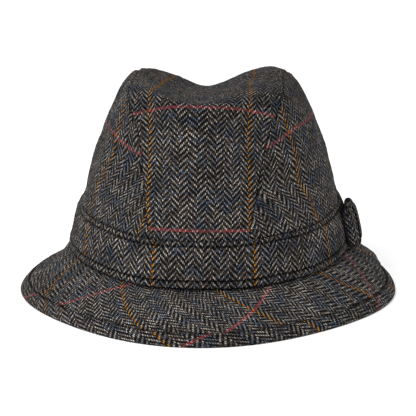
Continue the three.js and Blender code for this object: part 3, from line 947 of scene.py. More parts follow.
def band_bow_cloth():
    """The bow is a flat loop of cloth: a stadium-shaped path seen from above, carried up its
    height, with soft upper and lower edges that are drawn in along a hem. The outline's inner
    half runs back down inside the loop."""
    band = band_sizes()
    end_radius = float(bow_half_thickness(band.bow_length / 2))
    run = band.bow_length / 2 - end_radius
    straight = np.linspace(-1, 1, BOW_FACE_STEPS + 2)[1:-1]
    turned = np.linspace(0, math.pi, BOW_END_STEPS)
    face, end = np.full(BOW_FACE_STEPS, math.pi / 2), np.full(BOW_END_STEPS, run)
    along_path = np.concatenate([-straight * run, -end, straight * run, end])
    face_turn = np.concatenate([face, math.pi / 2 + turned, -face, -math.pi / 2 + turned])
    rows = crowded(np.linspace(-1, 1, BOW_ROWS), CROWDING)
    up_share, inset, lip_rise = strip_across(rows, band.bow_wall, BOW_NOSE)
    s, a = along_path[:, None], face_turn[:, None]
    size_up = np.abs(up_share)
    rounded = np.sqrt(1 - BOW_FALL * size_up[None, :] ** BOW_FALL_POWER)
    swell = BOW_FULLNESS * rounded - hump(size_up[None, :] - BOW_HEM, amount=0.10, reach=0.03)
    radius = end_radius - inset[None, :]
    along = s + radius * np.cos(a) * np.where(np.abs(s) >= run, swell, 1)
    half = np.where(np.abs(s) < run, bow_half_thickness(s), end_radius)
    deep = (half * swell - inset[None, :]) * np.sin(a)
    above = up_share[None, :] * bow_half_height(along) + lip_rise[None, :]
    points = bow_point(along, above, bow_stand(along) + deep)
    middle = BOW_ROWS // 2
    path = np.concatenate([points[:, middle], points[:1, middle]])
    u = steps_between(path, 0)
    top, end_of_back = np.full(LIP_STEPS, 1.0), np.full(LIP_STEPS + 1, 3.0)
    v = np.concatenate([rows, top, 3 - rows[::-1], end_of_back]) * band.bow_height / 2
    uv = np.stack(np.broadcast_arrays(u[:, None], v[None, :]), axis=-1)
    over = np.linspace(0, 1, LIP_STEPS)
    inside = np.concatenate([np.zeros(BOW_ROWS), over, np.ones(BOW_ROWS), over[::-1]])
    # Painted shade on the bow: on the faces turned to the band, under the wrap, along the hem and inside the
    # loop.
    to_band = 0.7 * smooth(0.2, 1.0, -np.sin(face_turn))
    under_wrap = hump(np.abs(along_path) - band.wrap_width / 2, amount=0.7, reach=0.0012)
    hem = hump(size_up - BOW_HEM, amount=0.5, reach=0.035) * (1 - inside)
    dark = np.maximum(np.maximum(to_band, under_wrap)[:, None], np.maximum(hem, 0.6 * inside)[None, :])
    return hoop("band_bow_cloth", points, uv, 1 - dark)


def bow_wrap_cloth():
    """The wrap goes right round the bow's waist: a flattened oval path round the waist, carried
    along the bow, with rounded edges and a slight swell."""
    band, gap = band_sizes(), brim_sizes().seam_gap
    angle = np.linspace(0, 2 * math.pi, WRAP_STEPS, endpoint=False)
    wall = band.wrap_wall
    rows = np.linspace(-1, 1, WRAP_ROWS)
    along_share, depth, nose = strip_across(rows, wall, WRAP_NOSE)
    out = wall - depth
    along = (along_share * band.wrap_width / 2 + nose)[None, :]
    swell = WRAP_SWELL * (1 - along_share**2)[None, :] * (out[None, :] / wall)
    cos, sin = np.cos(angle)[:, None], np.sin(angle)[:, None]
    size = (np.abs(cos) ** WRAP_POWER + np.abs(sin) ** WRAP_POWER) ** (-1 / WRAP_POWER)
    above = size * sin * (bow_half_height(along) + gap + out[None, :] + swell)
    deep = size * cos * (bow_half_thickness(along) + gap + out[None, :] + swell)
    points = bow_point(np.broadcast_to(along, above.shape), above, bow_stand(along) + deep)
    middle = WRAP_ROWS // 2
    path = np.concatenate([points[:, middle], points[:1, middle]])
    u = steps_between(path, 0)
    v = np.concatenate([along[0], along[0, :1]])
    uv = np.stack(np.broadcast_arrays(u[:, None] + WRAP_CLOTH_FROM, v[None, :]), axis=-1)
    # Painted shade on the wrap: at its rounded edges and on its inner face.
    at_edge = hump(np.abs(along_share) - 1, amount=0.5, reach=0.08)
    dark = at_edge * (out / wall) + 0.7 * (1 - out / wall)
    return hoop("bow_wrap_cloth", points, uv, 1 - dark[None, :])


# The brim and the strip that binds it.

BRIM_STEPS = 480

# How the bias-cut cloth lies on the brim at a length round its inner edge: how much cloth passes
# for each metre along that edge and for each metre outward, counted across the upright yarns
# (ends) and across the level yarns (picks).
BRIM_CLOTH = table(
    "at end_along end_across pick_along pick_across",
    (-0.3, 0.93, 0.6, 0.8, 0.82),
    (-0.18, 0.96, 0.28, 0.76, 1.03),
    (-0.101, 0.97, 0.14, 0.77, 1.08),
    (-0.038, 0.93, 0.75, 0.79, 1.05),
    (0.03, 0.895, 1.05, 0.82, 0.76),
    (0.097, 0.89, 0.82, 0.83, 0.39),
    (0.18, 0.92, 0.75, 0.82, 0.57),
    (0.3, 0.93, 0.7, 0.8, 0.72),
)
BRIM_CLOTH_FROM = 0.017

# How far the middle of the brim bulges on the wearer's left, and sinks on the right, and where.
BRIM_BULGE = 0.0034
BRIM_BULGE_AT = math.radians(110)
BRIM_BULGE_SPREAD = math.radians(34)

# The bulge is highest at these shares of the way out to the brim's edge, and rises over this one.
BULGE_TOP_LEFT = 0.78
BULGE_TOP_RIGHT = 0.55
BULGE_RUN = 0.45

# Points across the brim's face, over its fold beside the strip, across the strip's face, over the
# strip's free edge and round its nose.
BRIM_FACE_STEPS = 41
BRIM_FOLD_STEPS = 5
STRIP_FACE_STEPS = 9
STRIP_ROLL_STEPS = 6
NOSE_STEPS = 17

# How far out the brim's fold reaches, as a share of its drop, and where its waves start.
FOLD_REACH = 0.9
WAVES_FROM_STRIP = 0.004

# The radius of the strip's free edges, and how much of its waves its lower face shows.
STRIP_CORNER = 0.0007
LOWER_WAVES = 0.4

# How bright painted shade leaves the brim's cloth inside the strip.
INSIDE_STRIP_PAINTED_SHADE = 0.3

STRIP_CLOTH = table(
    "at end_along end_across pick_along pick_across",
    (-0.3, 0.79, 0.72, 0.66, 0.82),
    (0.3, 0.79, 0.72, 0.66, 0.82),
)
STRIP_CLOTH_FROM = 0.039

# The strip's cloth at its nose, so far past the brim's length.
NOSE_CLOTH_AT = 0.002


def brim_slope(angle, end):
    """The brim's slope at a place round the hat."""
    return np.radians(through(BRIM_SLOPES, "from_front", end, np.degrees(np.abs(angle))))


def strip_half():
    """Half of the strip's thickness: half of what it folds round, its seam's gap and its cloth."""
    brim = brim_sizes()
    return brim.tongue / 2 + brim.seam_gap + brim.strip_wall


def strip_shoulder():
    """How far in from the edge the brim has its full thickness: just past the strip."""
    brim = brim_sizes()
    return brim.strip_width + brim.seam_gap


def brim_edge(angle):
    """The outermost line of the brim: an ellipse, narrower at the front's corners and fuller at
    the back's by the squared sine of twice the angle, and turned up at the back."""
    brim = brim_sizes()
    front = np.cos(angle)
    corner = np.sin(2 * angle) ** 2
    fullness = np.where(front > 0, 1 - BRIM_FRONT_NARROWING * corner, 1 + BRIM_BACK_FULLNESS * corner)
    reach = brim.length / 2 + np.where(front > 0, -1, 1) * brim.widest_ahead
    half = strip_half()
    foot = half * math.cos(FOOT_HALF) - brim.edge_give
    x = brim.width / 2 * np.sin(angle) * fullness
    y = -reach * front * fullness - brim.widest_ahead
    turned_up = brim.back_rise * smooth(BRIM_RISE_FROM, math.pi, np.abs(angle))
    z = foot - half * np.sin(brim_slope(angle, "at_edge")) + turned_up
    return np.stack([x, y, z], axis=-1)


def brim_curves(angle, pieces=64):
    """The brim's middle line at each angle, from under the crown's wall to its edge: a cubic
    curve through two held slopes, as points at even lengths, with its tangent and its length."""
    crown, brim = crown_sizes(), brim_sizes()
    across, along = np.sin(angle), -np.cos(angle)
    under = crown_shape(across, along) - crown_normal(across, along) * crown.wall
    under[..., 2] -= brim.seam_gap + brim.wall / 2
    start, end = seat(under), brim_edge(angle)
    outward = unit((end - start) * np.array([1.0, 1.0, 0.0]))
    size = np.linalg.norm(end - start, axis=-1)

    def fall(at, hold):
        """A step along the slope at one end of the curve, as long as it is held."""
        slope = brim_slope(angle, at)
        direction = outward * np.cos(slope)[:, None]
        direction[:, 2] = -np.sin(slope)
        return direction * (hold * size)[:, None]

    leave = start + fall("at_crown", BRIM_CROWN_HOLD)
    arrive = end - fall("at_edge", BRIM_EDGE_HOLD)
    t = np.linspace(0, 1, 4 * pieces + 1)[None, :, None]
    curve = (
        (1 - t) ** 3 * start[:, None]
        + 3 * t * (1 - t) ** 2 * leave[:, None]
        + 3 * t**2 * (1 - t) * arrive[:, None]
        + t**3 * end[:, None]
    )
    return {"curve": curve, "at": steps_between(curve, 1), "outward": outward}


def brim_point(line, from_edge, above):
    """Points beside the brim's middle line: so far in from its outer end, so far above it. The
    place on each curve is found by straight lines between its points, and the upward direction
    is the tangent turned by a quarter."""
    curve, at, outward = line["curve"], line["at"], line["outward"]
    total = at[:, -1:]
    wanted = np.clip(total - from_edge, 0, total)
    i = np.clip((at[:, None, :] <= wanted[:, :, None]).sum(axis=2) - 1, 0, at.shape[1] - 2)
    rows = np.arange(len(at))[:, None]
    t = (wanted - at[rows, i]) / (at[rows, i + 1] - at[rows, i])
    place = curve[rows, i] * (1 - t[..., None]) + curve[rows, i + 1] * t[..., None]
    tangent = unit(curve[rows, i + 1] - curve[rows, i])
    level = (tangent * outward[:, None]).sum(axis=-1)
    up = outward[:, None] * -tangent[..., 2:3]
    up[..., 2] = level
    beyond = total - from_edge - wanted
    return place + unit(up) * np.asarray(above)[..., None] + tangent * beyond[..., None]


def bias_cloth(sections, start, inner_length, outwards):
    """Cloth coordinates on a bias-cut ring: the cloth that passes along the inner edge is added
    up from the front by the trapezium rule, and the cloth that passes outward is counted from
    the start, a distance from the inner edge."""
    columns = {way: through(sections, "at", way, inner_length) for way in list(sections[0])[1:]}

    def added(rate):
        """The cloth passed so far round the inner edge, from the front."""
        steps = (rate[1:] + rate[:-1]) / 2 * np.diff(inner_length)
        total = np.concatenate([[0.0], np.cumsum(steps)])
        return (total - np.interp(0.0, inner_length, total))[:, None]

    beyond = outwards - start
    ends = added(columns["end_along"]) - columns["end_across"][:, None] * beyond
    picks = -added(columns["pick_along"]) - columns["pick_across"][:, None] * beyond
    return np.stack([ends, picks], axis=-1)


def brim_rows(angle, line):
    """Even lengths round the brim's inner edge from the front, for the cloth coordinates."""
    inner = line["curve"][:, 0]
    lengths = steps_between(inner, 0)
    return lengths - np.interp(0.0, angle, lengths)


def brim_waves(angle, total, inwards, middle):
    """The brim's slow waves, and the bulge that rises on the wearer's left and sinks on the right.
    Across the brim the bulge is one smooth S up and another down."""
    shoulder = strip_shoulder()
    waves = undulation(middle, reach=0.05, amount=0.0011, seed=41)
    waves = waves + undulation(middle, reach=0.017, amount=0.0005, seed=42)
    waves = waves + (undulation(middle, reach=0.006, amount=0.00018, seed=43) + nap(inwards.shape, 44))
    outward_share = 1 - (inwards - shoulder) / (total - shoulder)
    top = np.where(angle > 0, BULGE_TOP_LEFT, BULGE_TOP_RIGHT)[:, None]
    up_and_down = smooth(top - BULGE_RUN, top, outward_share) * (1 - smooth(top, 1.0, outward_share))
    sides = bell((np.abs(angle) - BRIM_BULGE_AT) / BRIM_BULGE_SPREAD) * np.sign(angle)
    return waves + BRIM_BULGE * sides[:, None] * up_and_down


def brim_painted_light_and_shade(angle, total, inwards, fold_points):
    """Painted light and shade on the brim: painted shade darkens its upper face beside the strip
    and under the band, and painted light makes it paler at the front. Inside the strip painted
    shade makes it dark, and its lower face repeats the upper one."""
    shoulder = strip_shoulder()
    under_band = hump(total - inwards, amount=0.75, reach=0.0028)
    by_strip = hump(inwards - shoulder, amount=0.6, reach=0.0008)
    # Painted light: the front of the brim is made paler.
    pale = 1 + hump(angle, amount=0.24, reach=math.radians(50))[:, None]
    face = (1 - np.maximum(under_band, by_strip)) * pale
    hidden = np.full((len(angle), 2 * fold_points + 2), INSIDE_STRIP_PAINTED_SHADE)
    return np.concatenate([face, hidden, face[:, ::-1]], axis=1)


def brim_cloth():
    """The brim's cloth, over and under: an outline across the brim carried round the hat. Its
    upper face dips at the strip's seam and swells slightly beside it."""
    brim = brim_sizes()
    half, tongue = brim.wall / 2, brim.tongue / 2
    shoulder = strip_shoulder()
    angle = np.linspace(-math.pi, math.pi, BRIM_STEPS + 1)
    line = brim_curves(angle)
    total = line["at"][:, -1:]
    face = np.linspace(0, 1, BRIM_FACE_STEPS)[None, :]
    inwards = total * (1 - face) + shoulder * face
    roll = np.linspace(0, math.pi / 2, BRIM_FOLD_STEPS)[None, 1:]
    near_edge = shoulder - (half - tongue) * FOLD_REACH * np.sin(roll) + 0 * total
    middle = brim_point(line, inwards, 0 * inwards)
    waves = brim_waves(angle, total, inwards, middle)
    puff = hump(inwards - shoulder - 0.0028, amount=0.00035, reach=0.0018)
    settle = smooth(0.0, WAVES_FROM_STRIP, inwards - shoulder)
    upper = brim_point(line, inwards, half + waves * settle + puff)
    lower = brim_point(line, inwards, -half + waves * settle - puff)
    drop = tongue + (half - tongue) * np.cos(roll) + 0 * total
    upper_fold = brim_point(line, near_edge, drop)
    lower_fold = brim_point(line, near_edge, -drop)
    tip = np.full(total.shape, strip_half() + brim.seam_gap / 2)
    tip_upper = brim_point(line, tip, np.full(total.shape, tongue))
    tip_lower = brim_point(line, tip, np.full(total.shape, -tongue))
    outline = [upper, upper_fold, tip_upper, tip_lower, lower_fold[:, ::-1], lower[:, ::-1]]
    from_edge = [inwards, near_edge, tip, tip, near_edge[:, ::-1], inwards[:, ::-1], inwards[:, :1]]
    outwards = total - np.concatenate(from_edge, axis=1)
    uv = bias_cloth(BRIM_CLOTH, BRIM_CLOTH_FROM, brim_rows(angle, line), outwards)
    painted_shading = brim_painted_light_and_shade(angle, total, inwards, near_edge.shape[1])
    return hoop("brim_cloth", np.concatenate(outline, axis=1)[:-1], uv, painted_shading[:-1])


def brim_edge_cloth():
    """The strip folded round the brim's edge: two faces and a round nose, carried round the hat.
    Its free edges are rolled in at the seam, and its nose lies flat where it meets the floor."""
    brim = brim_sizes()
    outer, inner = strip_half(), strip_half() - brim.strip_wall
    seam = brim.strip_width
    half_way = (seam + outer) / 2
    angle = np.linspace(-math.pi, math.pi, BRIM_STEPS + 1)
    line = brim_curves(angle)
    zero = np.zeros((len(angle), 1))
    roll = np.linspace(0, math.pi / 2, STRIP_ROLL_STEPS)[None, :]
    rolled = seam - STRIP_CORNER * (1 - np.cos(math.pi / 2 - roll)) + zero
    rolled_up = outer - STRIP_CORNER + STRIP_CORNER * np.sin(roll) + zero
    face = np.linspace(seam - STRIP_CORNER, outer, STRIP_FACE_STEPS)[None, 1:-1] + zero
    middle = brim_point(line, face, 0 * face)
    waves = undulation(middle, reach=0.013, amount=0.0004, seed=51)
    waves = waves + undulation(middle, reach=0.005, amount=0.00018, seed=52) + nap(face.shape, 53)
    puff = hump(face - half_way, amount=0.00025, reach=0.003)
    nose = np.linspace(math.pi / 2, -math.pi / 2, NOSE_STEPS)
    centre = brim_point(line, outer + zero, zero)
    above = unit(brim_point(line, outer + zero, zero + 0.001) - centre)
    ahead = unit(brim_point(line, zero, zero) - centre)

    def around(radius, angles):
        """A round nose of this radius, from its upper to its lower side."""
        cos, sin = np.cos(angles)[None, :, None], np.sin(angles)[None, :, None]
        return centre + radius * (ahead * cos + above * sin)

    upper_roll = brim_point(line, rolled, rolled_up)
    upper = brim_point(line, face, outer + waves + puff)
    lower = brim_point(line, face, -(outer - waves * LOWER_WAVES + puff))[:, ::-1]
    lower_roll = brim_point(line, rolled, -rolled_up)[:, ::-1]
    inner_lower = brim_point(line, np.array([[seam, half_way]]) + zero, -inner + zero)
    inner_upper = brim_point(line, np.array([[half_way, seam]]) + zero, inner + zero)
    outline = [upper_roll, upper, around(outer, nose), lower, lower_roll]
    outer_size = sum(part.shape[1] for part in outline)
    outline = outline + [inner_lower, around(inner, nose[::-4]), inner_upper]
    points = np.concatenate(outline, axis=1)
    points[..., 2] = np.maximum(points[..., 2], 0.0)
    across = steps_between(np.concatenate([points, points[:, :1]], axis=1), 1)
    nose_at = across[:, [upper_roll.shape[1] + upper.shape[1] + NOSE_STEPS // 2]]
    outwards = line["at"][:, -1:] - np.abs(nose_at - across) + NOSE_CLOTH_AT
    uv = bias_cloth(STRIP_CLOTH, STRIP_CLOTH_FROM, brim_rows(angle, line), outwards)
    # Painted shade along the strip's two rolled seams.
    from_upper_seam = across[:, :-1]
    from_lower_seam = np.abs(across[:, [outer_size - 1]] - from_upper_seam)
    at_seam = hump(np.minimum(from_upper_seam, from_lower_seam), amount=0.6, reach=0.0008)
    return hoop("brim_edge_cloth", points[:-1], uv, (1 - at_seam)[:-1])


# Finishes.


class Wiring:
    """Adds shader nodes to a tree and joins them. Each method returns an output socket."""

    def __init__(self, tree):
        self.tree = tree

    def node(self, kind, **settings):
        """A new node with these settings."""
        made = self.tree.nodes.new(kind)
        for key, value in settings.items():
            setattr(made, key, value)
        return made

    def feed(self, socket, value):
        """Gives an input another node's output or a plain value."""
        if isinstance(value, bpy.types.NodeSocket):
            self.tree.links.new(value, socket)
        elif value is not None:
            socket.default_value = value

    def math(self, operation, *values):
        """One sum on numbers."""
        made = self.node("ShaderNodeMath", operation=operation)
        for socket, value in zip(made.inputs, values):
            self.feed(socket, value)
        return made.outputs[0]

    def scaled(self, value, gain, offset):
        """The value times the gain, plus the offset."""
        return self.math("MULTIPLY_ADD", value, gain, offset)

    def floor_of(self, value, size):
        """How many whole sizes go into the value."""
        return self.math("FLOOR", self.math("DIVIDE", value, size))

    def mix(self, share_socket, first, second):
        """From the first colour to the second by the share."""
        made = self.node("ShaderNodeMix", data_type="RGBA")
        self.feed(made.inputs["Factor"], share_socket)
        self.feed(made.inputs[6], first)
        self.feed(made.inputs[7], second)
        return made.outputs[2]

    def blend(self, share_socket, first, second):
        """From the first number to the second by the share."""
        made = self.node("ShaderNodeMix", data_type="FLOAT")
        self.feed(made.inputs["Factor"], share_socket)
        self.feed(made.inputs[2], first)
        self.feed(made.inputs[3], second)
        return made.outputs[0]

    def shaded(self, tint, amount):
        """A colour made darker or lighter by an amount."""
        made = self.node("ShaderNodeVectorMath", operation="SCALE")
        self.feed(made.inputs[0], tint)
        self.feed(made.inputs["Scale"], amount)
        return made.outputs[0]

    def separate(self, vector):
        """The three parts of a vector."""
        made = self.node("ShaderNodeSeparateXYZ")
        self.feed(made.inputs[0], vector)
        return made.outputs

    def combine(self, x=0.0, y=0.0, z=0.0):
        """A vector from three numbers."""
        made = self.node("ShaderNodeCombineXYZ")
        for socket, value in zip(made.inputs, (x, y, z)):
            self.feed(socket, value)
        return made.outputs[0]

    def noise(self, vector, scale, detail=2.0, roughness=0.5):
        """Smooth noise from 0 to 1, so many waves for each metre."""
        made = self.node("ShaderNodeTexNoise", noise_dimensions="3D")
        self.feed(made.inputs["Vector"], vector)
        self.feed(made.inputs["Scale"], scale)
        made.inputs["Detail"].default_value = detail
        made.inputs["Roughness"].default_value = roughness
        return made.outputs[0]

    def random(self, vector):
        """A number from 0 to 1 that has nothing to do with its neighbours."""
        made = self.node("ShaderNodeTexWhiteNoise", noise_dimensions="3D")
        self.feed(made.inputs["Vector"], vector)
        return made.outputs[0]

    def ramp(self, value, start, end):
        """0 up to the start, 1 from the end on and a smooth S between them."""
        made = self.node("ShaderNodeMapRange", interpolation_type="SMOOTHSTEP")
        self.feed(made.inputs["Value"], value)
        self.feed(made.inputs["From Min"], start)
        self.feed(made.inputs["From Max"], end)
        return made.outputs[0]


def new_group(name, inputs, outputs):
    """An empty shader node group with named inputs, each with its default, and named outputs."""
    group = bpy.data.node_groups.new(name, "ShaderNodeTree")
    for label, kind, default in inputs:
        socket = group.interface.new_socket(label, in_out="INPUT", socket_type="NodeSocket" + kind)
        if default is not None:
            socket.default_value = default
    for label, kind in outputs:
        group.interface.new_socket(label, in_out="OUTPUT", socket_type="NodeSocket" + kind)
    entry = group.nodes.new("NodeGroupInput")
    leave = group.nodes.new("NodeGroupOutput")
    return group, entry.outputs, leave.inputs


# The twill turns back after so many upright yarns, and repeats after so many level ones.
ENDS_PER_STRIPE = 6.0
TWILL_REPEAT = 4.0

# Added to whole yarn numbers before they are divided, so that rounding can't drop one.
WHOLE = 0.01
HALF_YARN = 0.5

# How much lower a float's ends lie than its middle.
FLOAT_END_DROP = 0.55

# How far a yarn's number moves its place in the noise that its unevenness is read from, and how
# fast that noise changes along the yarn, for each metre.
YARN_STRIDE = 7.3
SLUB_RATE = 420.0

# The check's lines are this many yarns wide.
LINE_YARNS = 2.0

# How far the material's bump stands out.
BUMP_DEPTH = 0.00035
BUMP_STRENGTH = 0.8


def herringbone_group():
    """Two-and-two twill that turns back every few upright yarns. Yarn numbers are the floors of
    the cloth coordinates over the spacings. An upright yarn is on top where its step in the
    twill is below 2, and each float is a rounded bar over two crossings."""
    group, given, result = new_group(
        "herringbone_weave",
        [
            ("Cloth", "Vector", None),
            ("End Spacing", "Float", 0.00084),
            ("Pick Spacing", "Float", 0.00088),
            ("Waver", "Float", 0.00012),
        ],
        [(label, "Float") for label in ("Upright", "End", "Pick", "Float Number", "Height")],
    )
    w = Wiring(group)
    raw = w.separate(given["Cloth"])
    drift = w.noise(given["Cloth"], scale=180.0, detail=1.0)
    cross_drift = w.noise(w.combine(raw[1], raw[0], 3.7), scale=160.0, detail=1.0)

    def yarns(along, sway, spacing):
        """The distance in yarns: the cloth coordinate, moved a little by the sway, over the spacing."""
        centred = w.math("SUBTRACT", sway, 0.5)
        moved = w.scaled(centred, w.math("MULTIPLY", given["Waver"], 2.0), along)
        return w.math("DIVIDE", moved, given[spacing])

    x = yarns(raw[0], drift, "End Spacing")
    y = yarns(raw[1], cross_drift, "Pick Spacing")
    i = w.math("FLOOR", x)
    j = w.math("FLOOR", y)
    fx = w.math("SUBTRACT", x, i)
    fy = w.math("SUBTRACT", y, j)
    stripe = w.floor_of(w.math("ADD", i, HALF_YARN), ENDS_PER_STRIPE)
    k = w.math("SUBTRACT", i, w.math("MULTIPLY", stripe, ENDS_PER_STRIPE))
    odd = w.math("FLOORED_MODULO", stripe, 2.0)
    falling = w.math("SUBTRACT", j, k)
    rising = w.math("ADD", w.math("ADD", j, k), 1.0)
    number = w.blend(odd, falling, rising)
    step = w.math("FLOORED_MODULO", w.math("ADD", number, WHOLE), TWILL_REPEAT)
    upright = w.math("LESS_THAN", step, 2.0)
    along_upright = w.math("DIVIDE", w.math("ADD", w.math("FLOOR", step), fy), 2.0)
    falling_step = w.math("SUBTRACT", 3.0, w.math("FLOOR", step))
    rising_step = w.math("SUBTRACT", w.math("FLOOR", step), 2.0)
    level_step = w.blend(odd, falling_step, rising_step)
    along_level = w.math("DIVIDE", w.math("ADD", level_step, fx), 2.0)

    def bar(across, along):
        """A rounded bar: a half circle across it, and a drop towards its ends by a cube."""
        a = w.scaled(across, gain=2.0, offset=-1.0)
        b = w.scaled(along, gain=2.0, offset=-1.0)
        round_across = w.math("SUBTRACT", 1.0, w.math("MULTIPLY", a, a))
        towards_end = w.math("POWER", w.math("ABSOLUTE", b), 3.0)
        round_along = w.math("SUBTRACT", 1.0, w.math("MULTIPLY", FLOAT_END_DROP, towards_end))
        half_circle = w.math("SQRT", w.math("MAXIMUM", round_across, 0.0))
        return w.math("MULTIPLY", half_circle, round_along)

    height = w.blend(upright, bar(fy, along_level), bar(fx, along_upright))
    float_number = w.floor_of(w.math("ADD", number, WHOLE), TWILL_REPEAT)
    w.feed(result["Upright"], upright)
    w.feed(result["End"], i)
    w.feed(result["Pick"], j)
    w.feed(result["Float Number"], float_number)
    w.feed(result["Height"], height)
    return group


# The yarns' colours, by the names of their controls.
YARN_COLOURS = (
    "Light Yarn",
    "Grey Yarn",
    "Dark Yarn",
    "Blue Fleck",
    "Brown Fleck",
    "Orange Line",
    "Red Line",
)


def tweed_colour_group():
    """The yarns' colours: each float has its own lightness, blue and brown fibres come and go in
    slow patches, and two yarns in every check repeat are orange or red."""
    group, given, result = new_group(
        "tweed_yarn_colours",
        [
            ("Cloth", "Vector", None),
            ("Upright", "Float", 0.0),
            ("End", "Float", 0.0),
            ("Pick", "Float", 0.0),
            ("Float Number", "Float", 0.0),
            ("Height", "Float", 0.0),
            ("Upright Check Ends", "Float", 72.0),
            ("Level Check Picks", "Float", 82.0),
        ]
        + [(label, "Color", (0.5, 0.5, 0.5, 1.0)) for label in YARN_COLOURS],
        [("Color", "Color")],
    )
    w = Wiring(group)
    cloth_place = given["Cloth"]
    across = w.separate(cloth_place)
    end, pick = given["End"], given["Pick"]

    def with_blue(mask, most, under):
        """Blue fibres over a yarn's colour where the mask is high."""
        return w.mix(w.math("MULTIPLY", mask, most), under, given["Blue Fleck"])

    def on_line(number, repeat):
        """1 on the yarns of the check's line."""
        in_check = w.math("FLOORED_MODULO", w.math("ADD", number, HALF_YARN), repeat)
        return w.math("LESS_THAN", in_check, LINE_YARNS)

    each_light = w.random(w.combine(end, given["Float Number"], 1.0))
    each_dark = w.random(w.combine(pick, w.floor_of(end, 2.0), 2.0))
    along_end = w.math("MULTIPLY", across[1], SLUB_RATE)
    slub = w.noise(w.combine(w.math("MULTIPLY", end, YARN_STRIDE), along_end, 0.0), scale=1.0)
    along_pick = w.math("MULTIPLY", across[0], SLUB_RATE)
    level_slub = w.noise(w.combine(along_pick, w.math("MULTIPLY", pick, YARN_STRIDE), 4.0), scale=1.0)
    lightness = w.scaled(each_light, gain=0.55, offset=w.math("MULTIPLY", slub, 0.6))
    light = w.mix(w.ramp(lightness, start=0.3, end=0.95), given["Grey Yarn"], given["Light Yarn"])
    blue_patch = w.noise(cloth_place, scale=80.0)
    blue_each = w.random(w.combine(end, given["Float Number"], 5.0))
    blue_here = w.scaled(blue_patch, gain=1.9, offset=w.math("MULTIPLY", blue_each, 0.35))
    light = with_blue(w.ramp(blue_here, start=1.1, end=1.45), 0.8, light)
    brown_patch = w.noise(w.combine(across[0], across[1], 2.3), scale=150.0)
    brown_here = w.scaled(brown_patch, gain=0.7, offset=w.math("MULTIPLY", each_dark, 0.8))
    dark = w.mix(w.ramp(brown_here, start=0.78, end=1.15), given["Dark Yarn"], given["Brown Fleck"])
    blue_pick = w.random(w.combine(pick, w.floor_of(end, 3.0), 6.0))
    dark_blue = w.scaled(level_slub, gain=0.45, offset=blue_pick)
    dark = with_blue(w.ramp(dark_blue, start=1.12, end=1.25), 0.5, dark)
    orange = w.mix(w.math("MULTIPLY", slub, 0.4), given["Orange Line"], given["Brown Fleck"])
    light = w.mix(on_line(end, given["Upright Check Ends"]), light, orange)
    red = w.mix(w.ramp(level_slub, start=0.35, end=0.75), given["Red Line"], given["Brown Fleck"])
    dark = w.mix(on_line(pick, given["Level Check Picks"]), dark, red)
    core = w.math("MULTIPLY", given["Upright"], w.ramp(given["Height"], start=0.55, end=0.98))
    yarn = w.mix(core, dark, light)
    speckle = w.noise(cloth_place, scale=1500.0, detail=1.0)
    patches = w.noise(w.combine(across[1], across[0], 8.1), scale=85.0, detail=3.0, roughness=0.6)
    speckled = w.scaled(speckle, gain=2.2, offset=-0.1)
    uneven = w.math("MULTIPLY", speckled, w.scaled(patches, gain=1.6, offset=0.17))
    # Painted shade: each float is darker towards its lower edges and ends; the speckle and patches give the
    # cloth's uneven tone.
    painted_shade_and_tone = w.math("MULTIPLY", w.scaled(given["Height"], gain=0.6, offset=0.4), uneven)
    w.feed(result["Color"], w.shaded(yarn, painted_shade_and_tone))
    return group


def wool_fibre_group():
    """Loose wool on the yarns: fine noise that roughens the height and lifts the colour a little
    towards the fibres' grey."""
    group, given, result = new_group(
        "wool_fibres",
        [
            ("Cloth", "Vector", None),
            ("Fibre Size", "Float", 0.0004),
            ("Height", "Float", 0.0),
            ("Amount", "Float", 0.35),
        ],
        [(label, "Float") for label in ("Height", "Fuzz", "Roughness")],
    )
    w = Wiring(group)
    scale = w.math("DIVIDE", 1.0, given["Fibre Size"])
    fine = w.noise(given["Cloth"], scale, detail=3.0, roughness=0.65)
    broad = w.noise(given["Cloth"], w.math("MULTIPLY", scale, 0.28))
    both = w.scaled(broad, gain=0.5, offset=w.math("MULTIPLY", fine, 0.7))
    fuzz = w.ramp(both, start=0.5, end=0.85)
    raised = w.scaled(w.math("SUBTRACT", fine, 0.5), given["Amount"], given["Height"])
    w.feed(result["Height"], raised)
    w.feed(result["Fuzz"], fuzz)
    w.feed(result["Roughness"], w.scaled(fuzz, gain=0.12, offset=0.82))
    return group


GROUP_MAKERS = {
    "herringbone_weave": herringbone_group,
    "tweed_yarn_colours": tweed_colour_group,
    "wool_fibres": wool_fibre_group,
}


def shared_group(name):
    """A node group that several materials use, made the first time it is asked for."""
    return bpy.data.node_groups.get(name) or GROUP_MAKERS[name]()


# Where the check starts on each piece: so many metres of cloth across and along.
CHECK_STARTS = {
    "centre_panel": (0.03109, 0.0406),
    "left_panel": (0.05284, -0.0858),
    "right_panel": (-0.05116, -0.0814),
    "band": (0.0271, 0.010),
    "bow": (0.01, 0.03),
    "brim": (0.0358, 0.0268),
    "edge_strip": (0.0117, 0.0031),
}


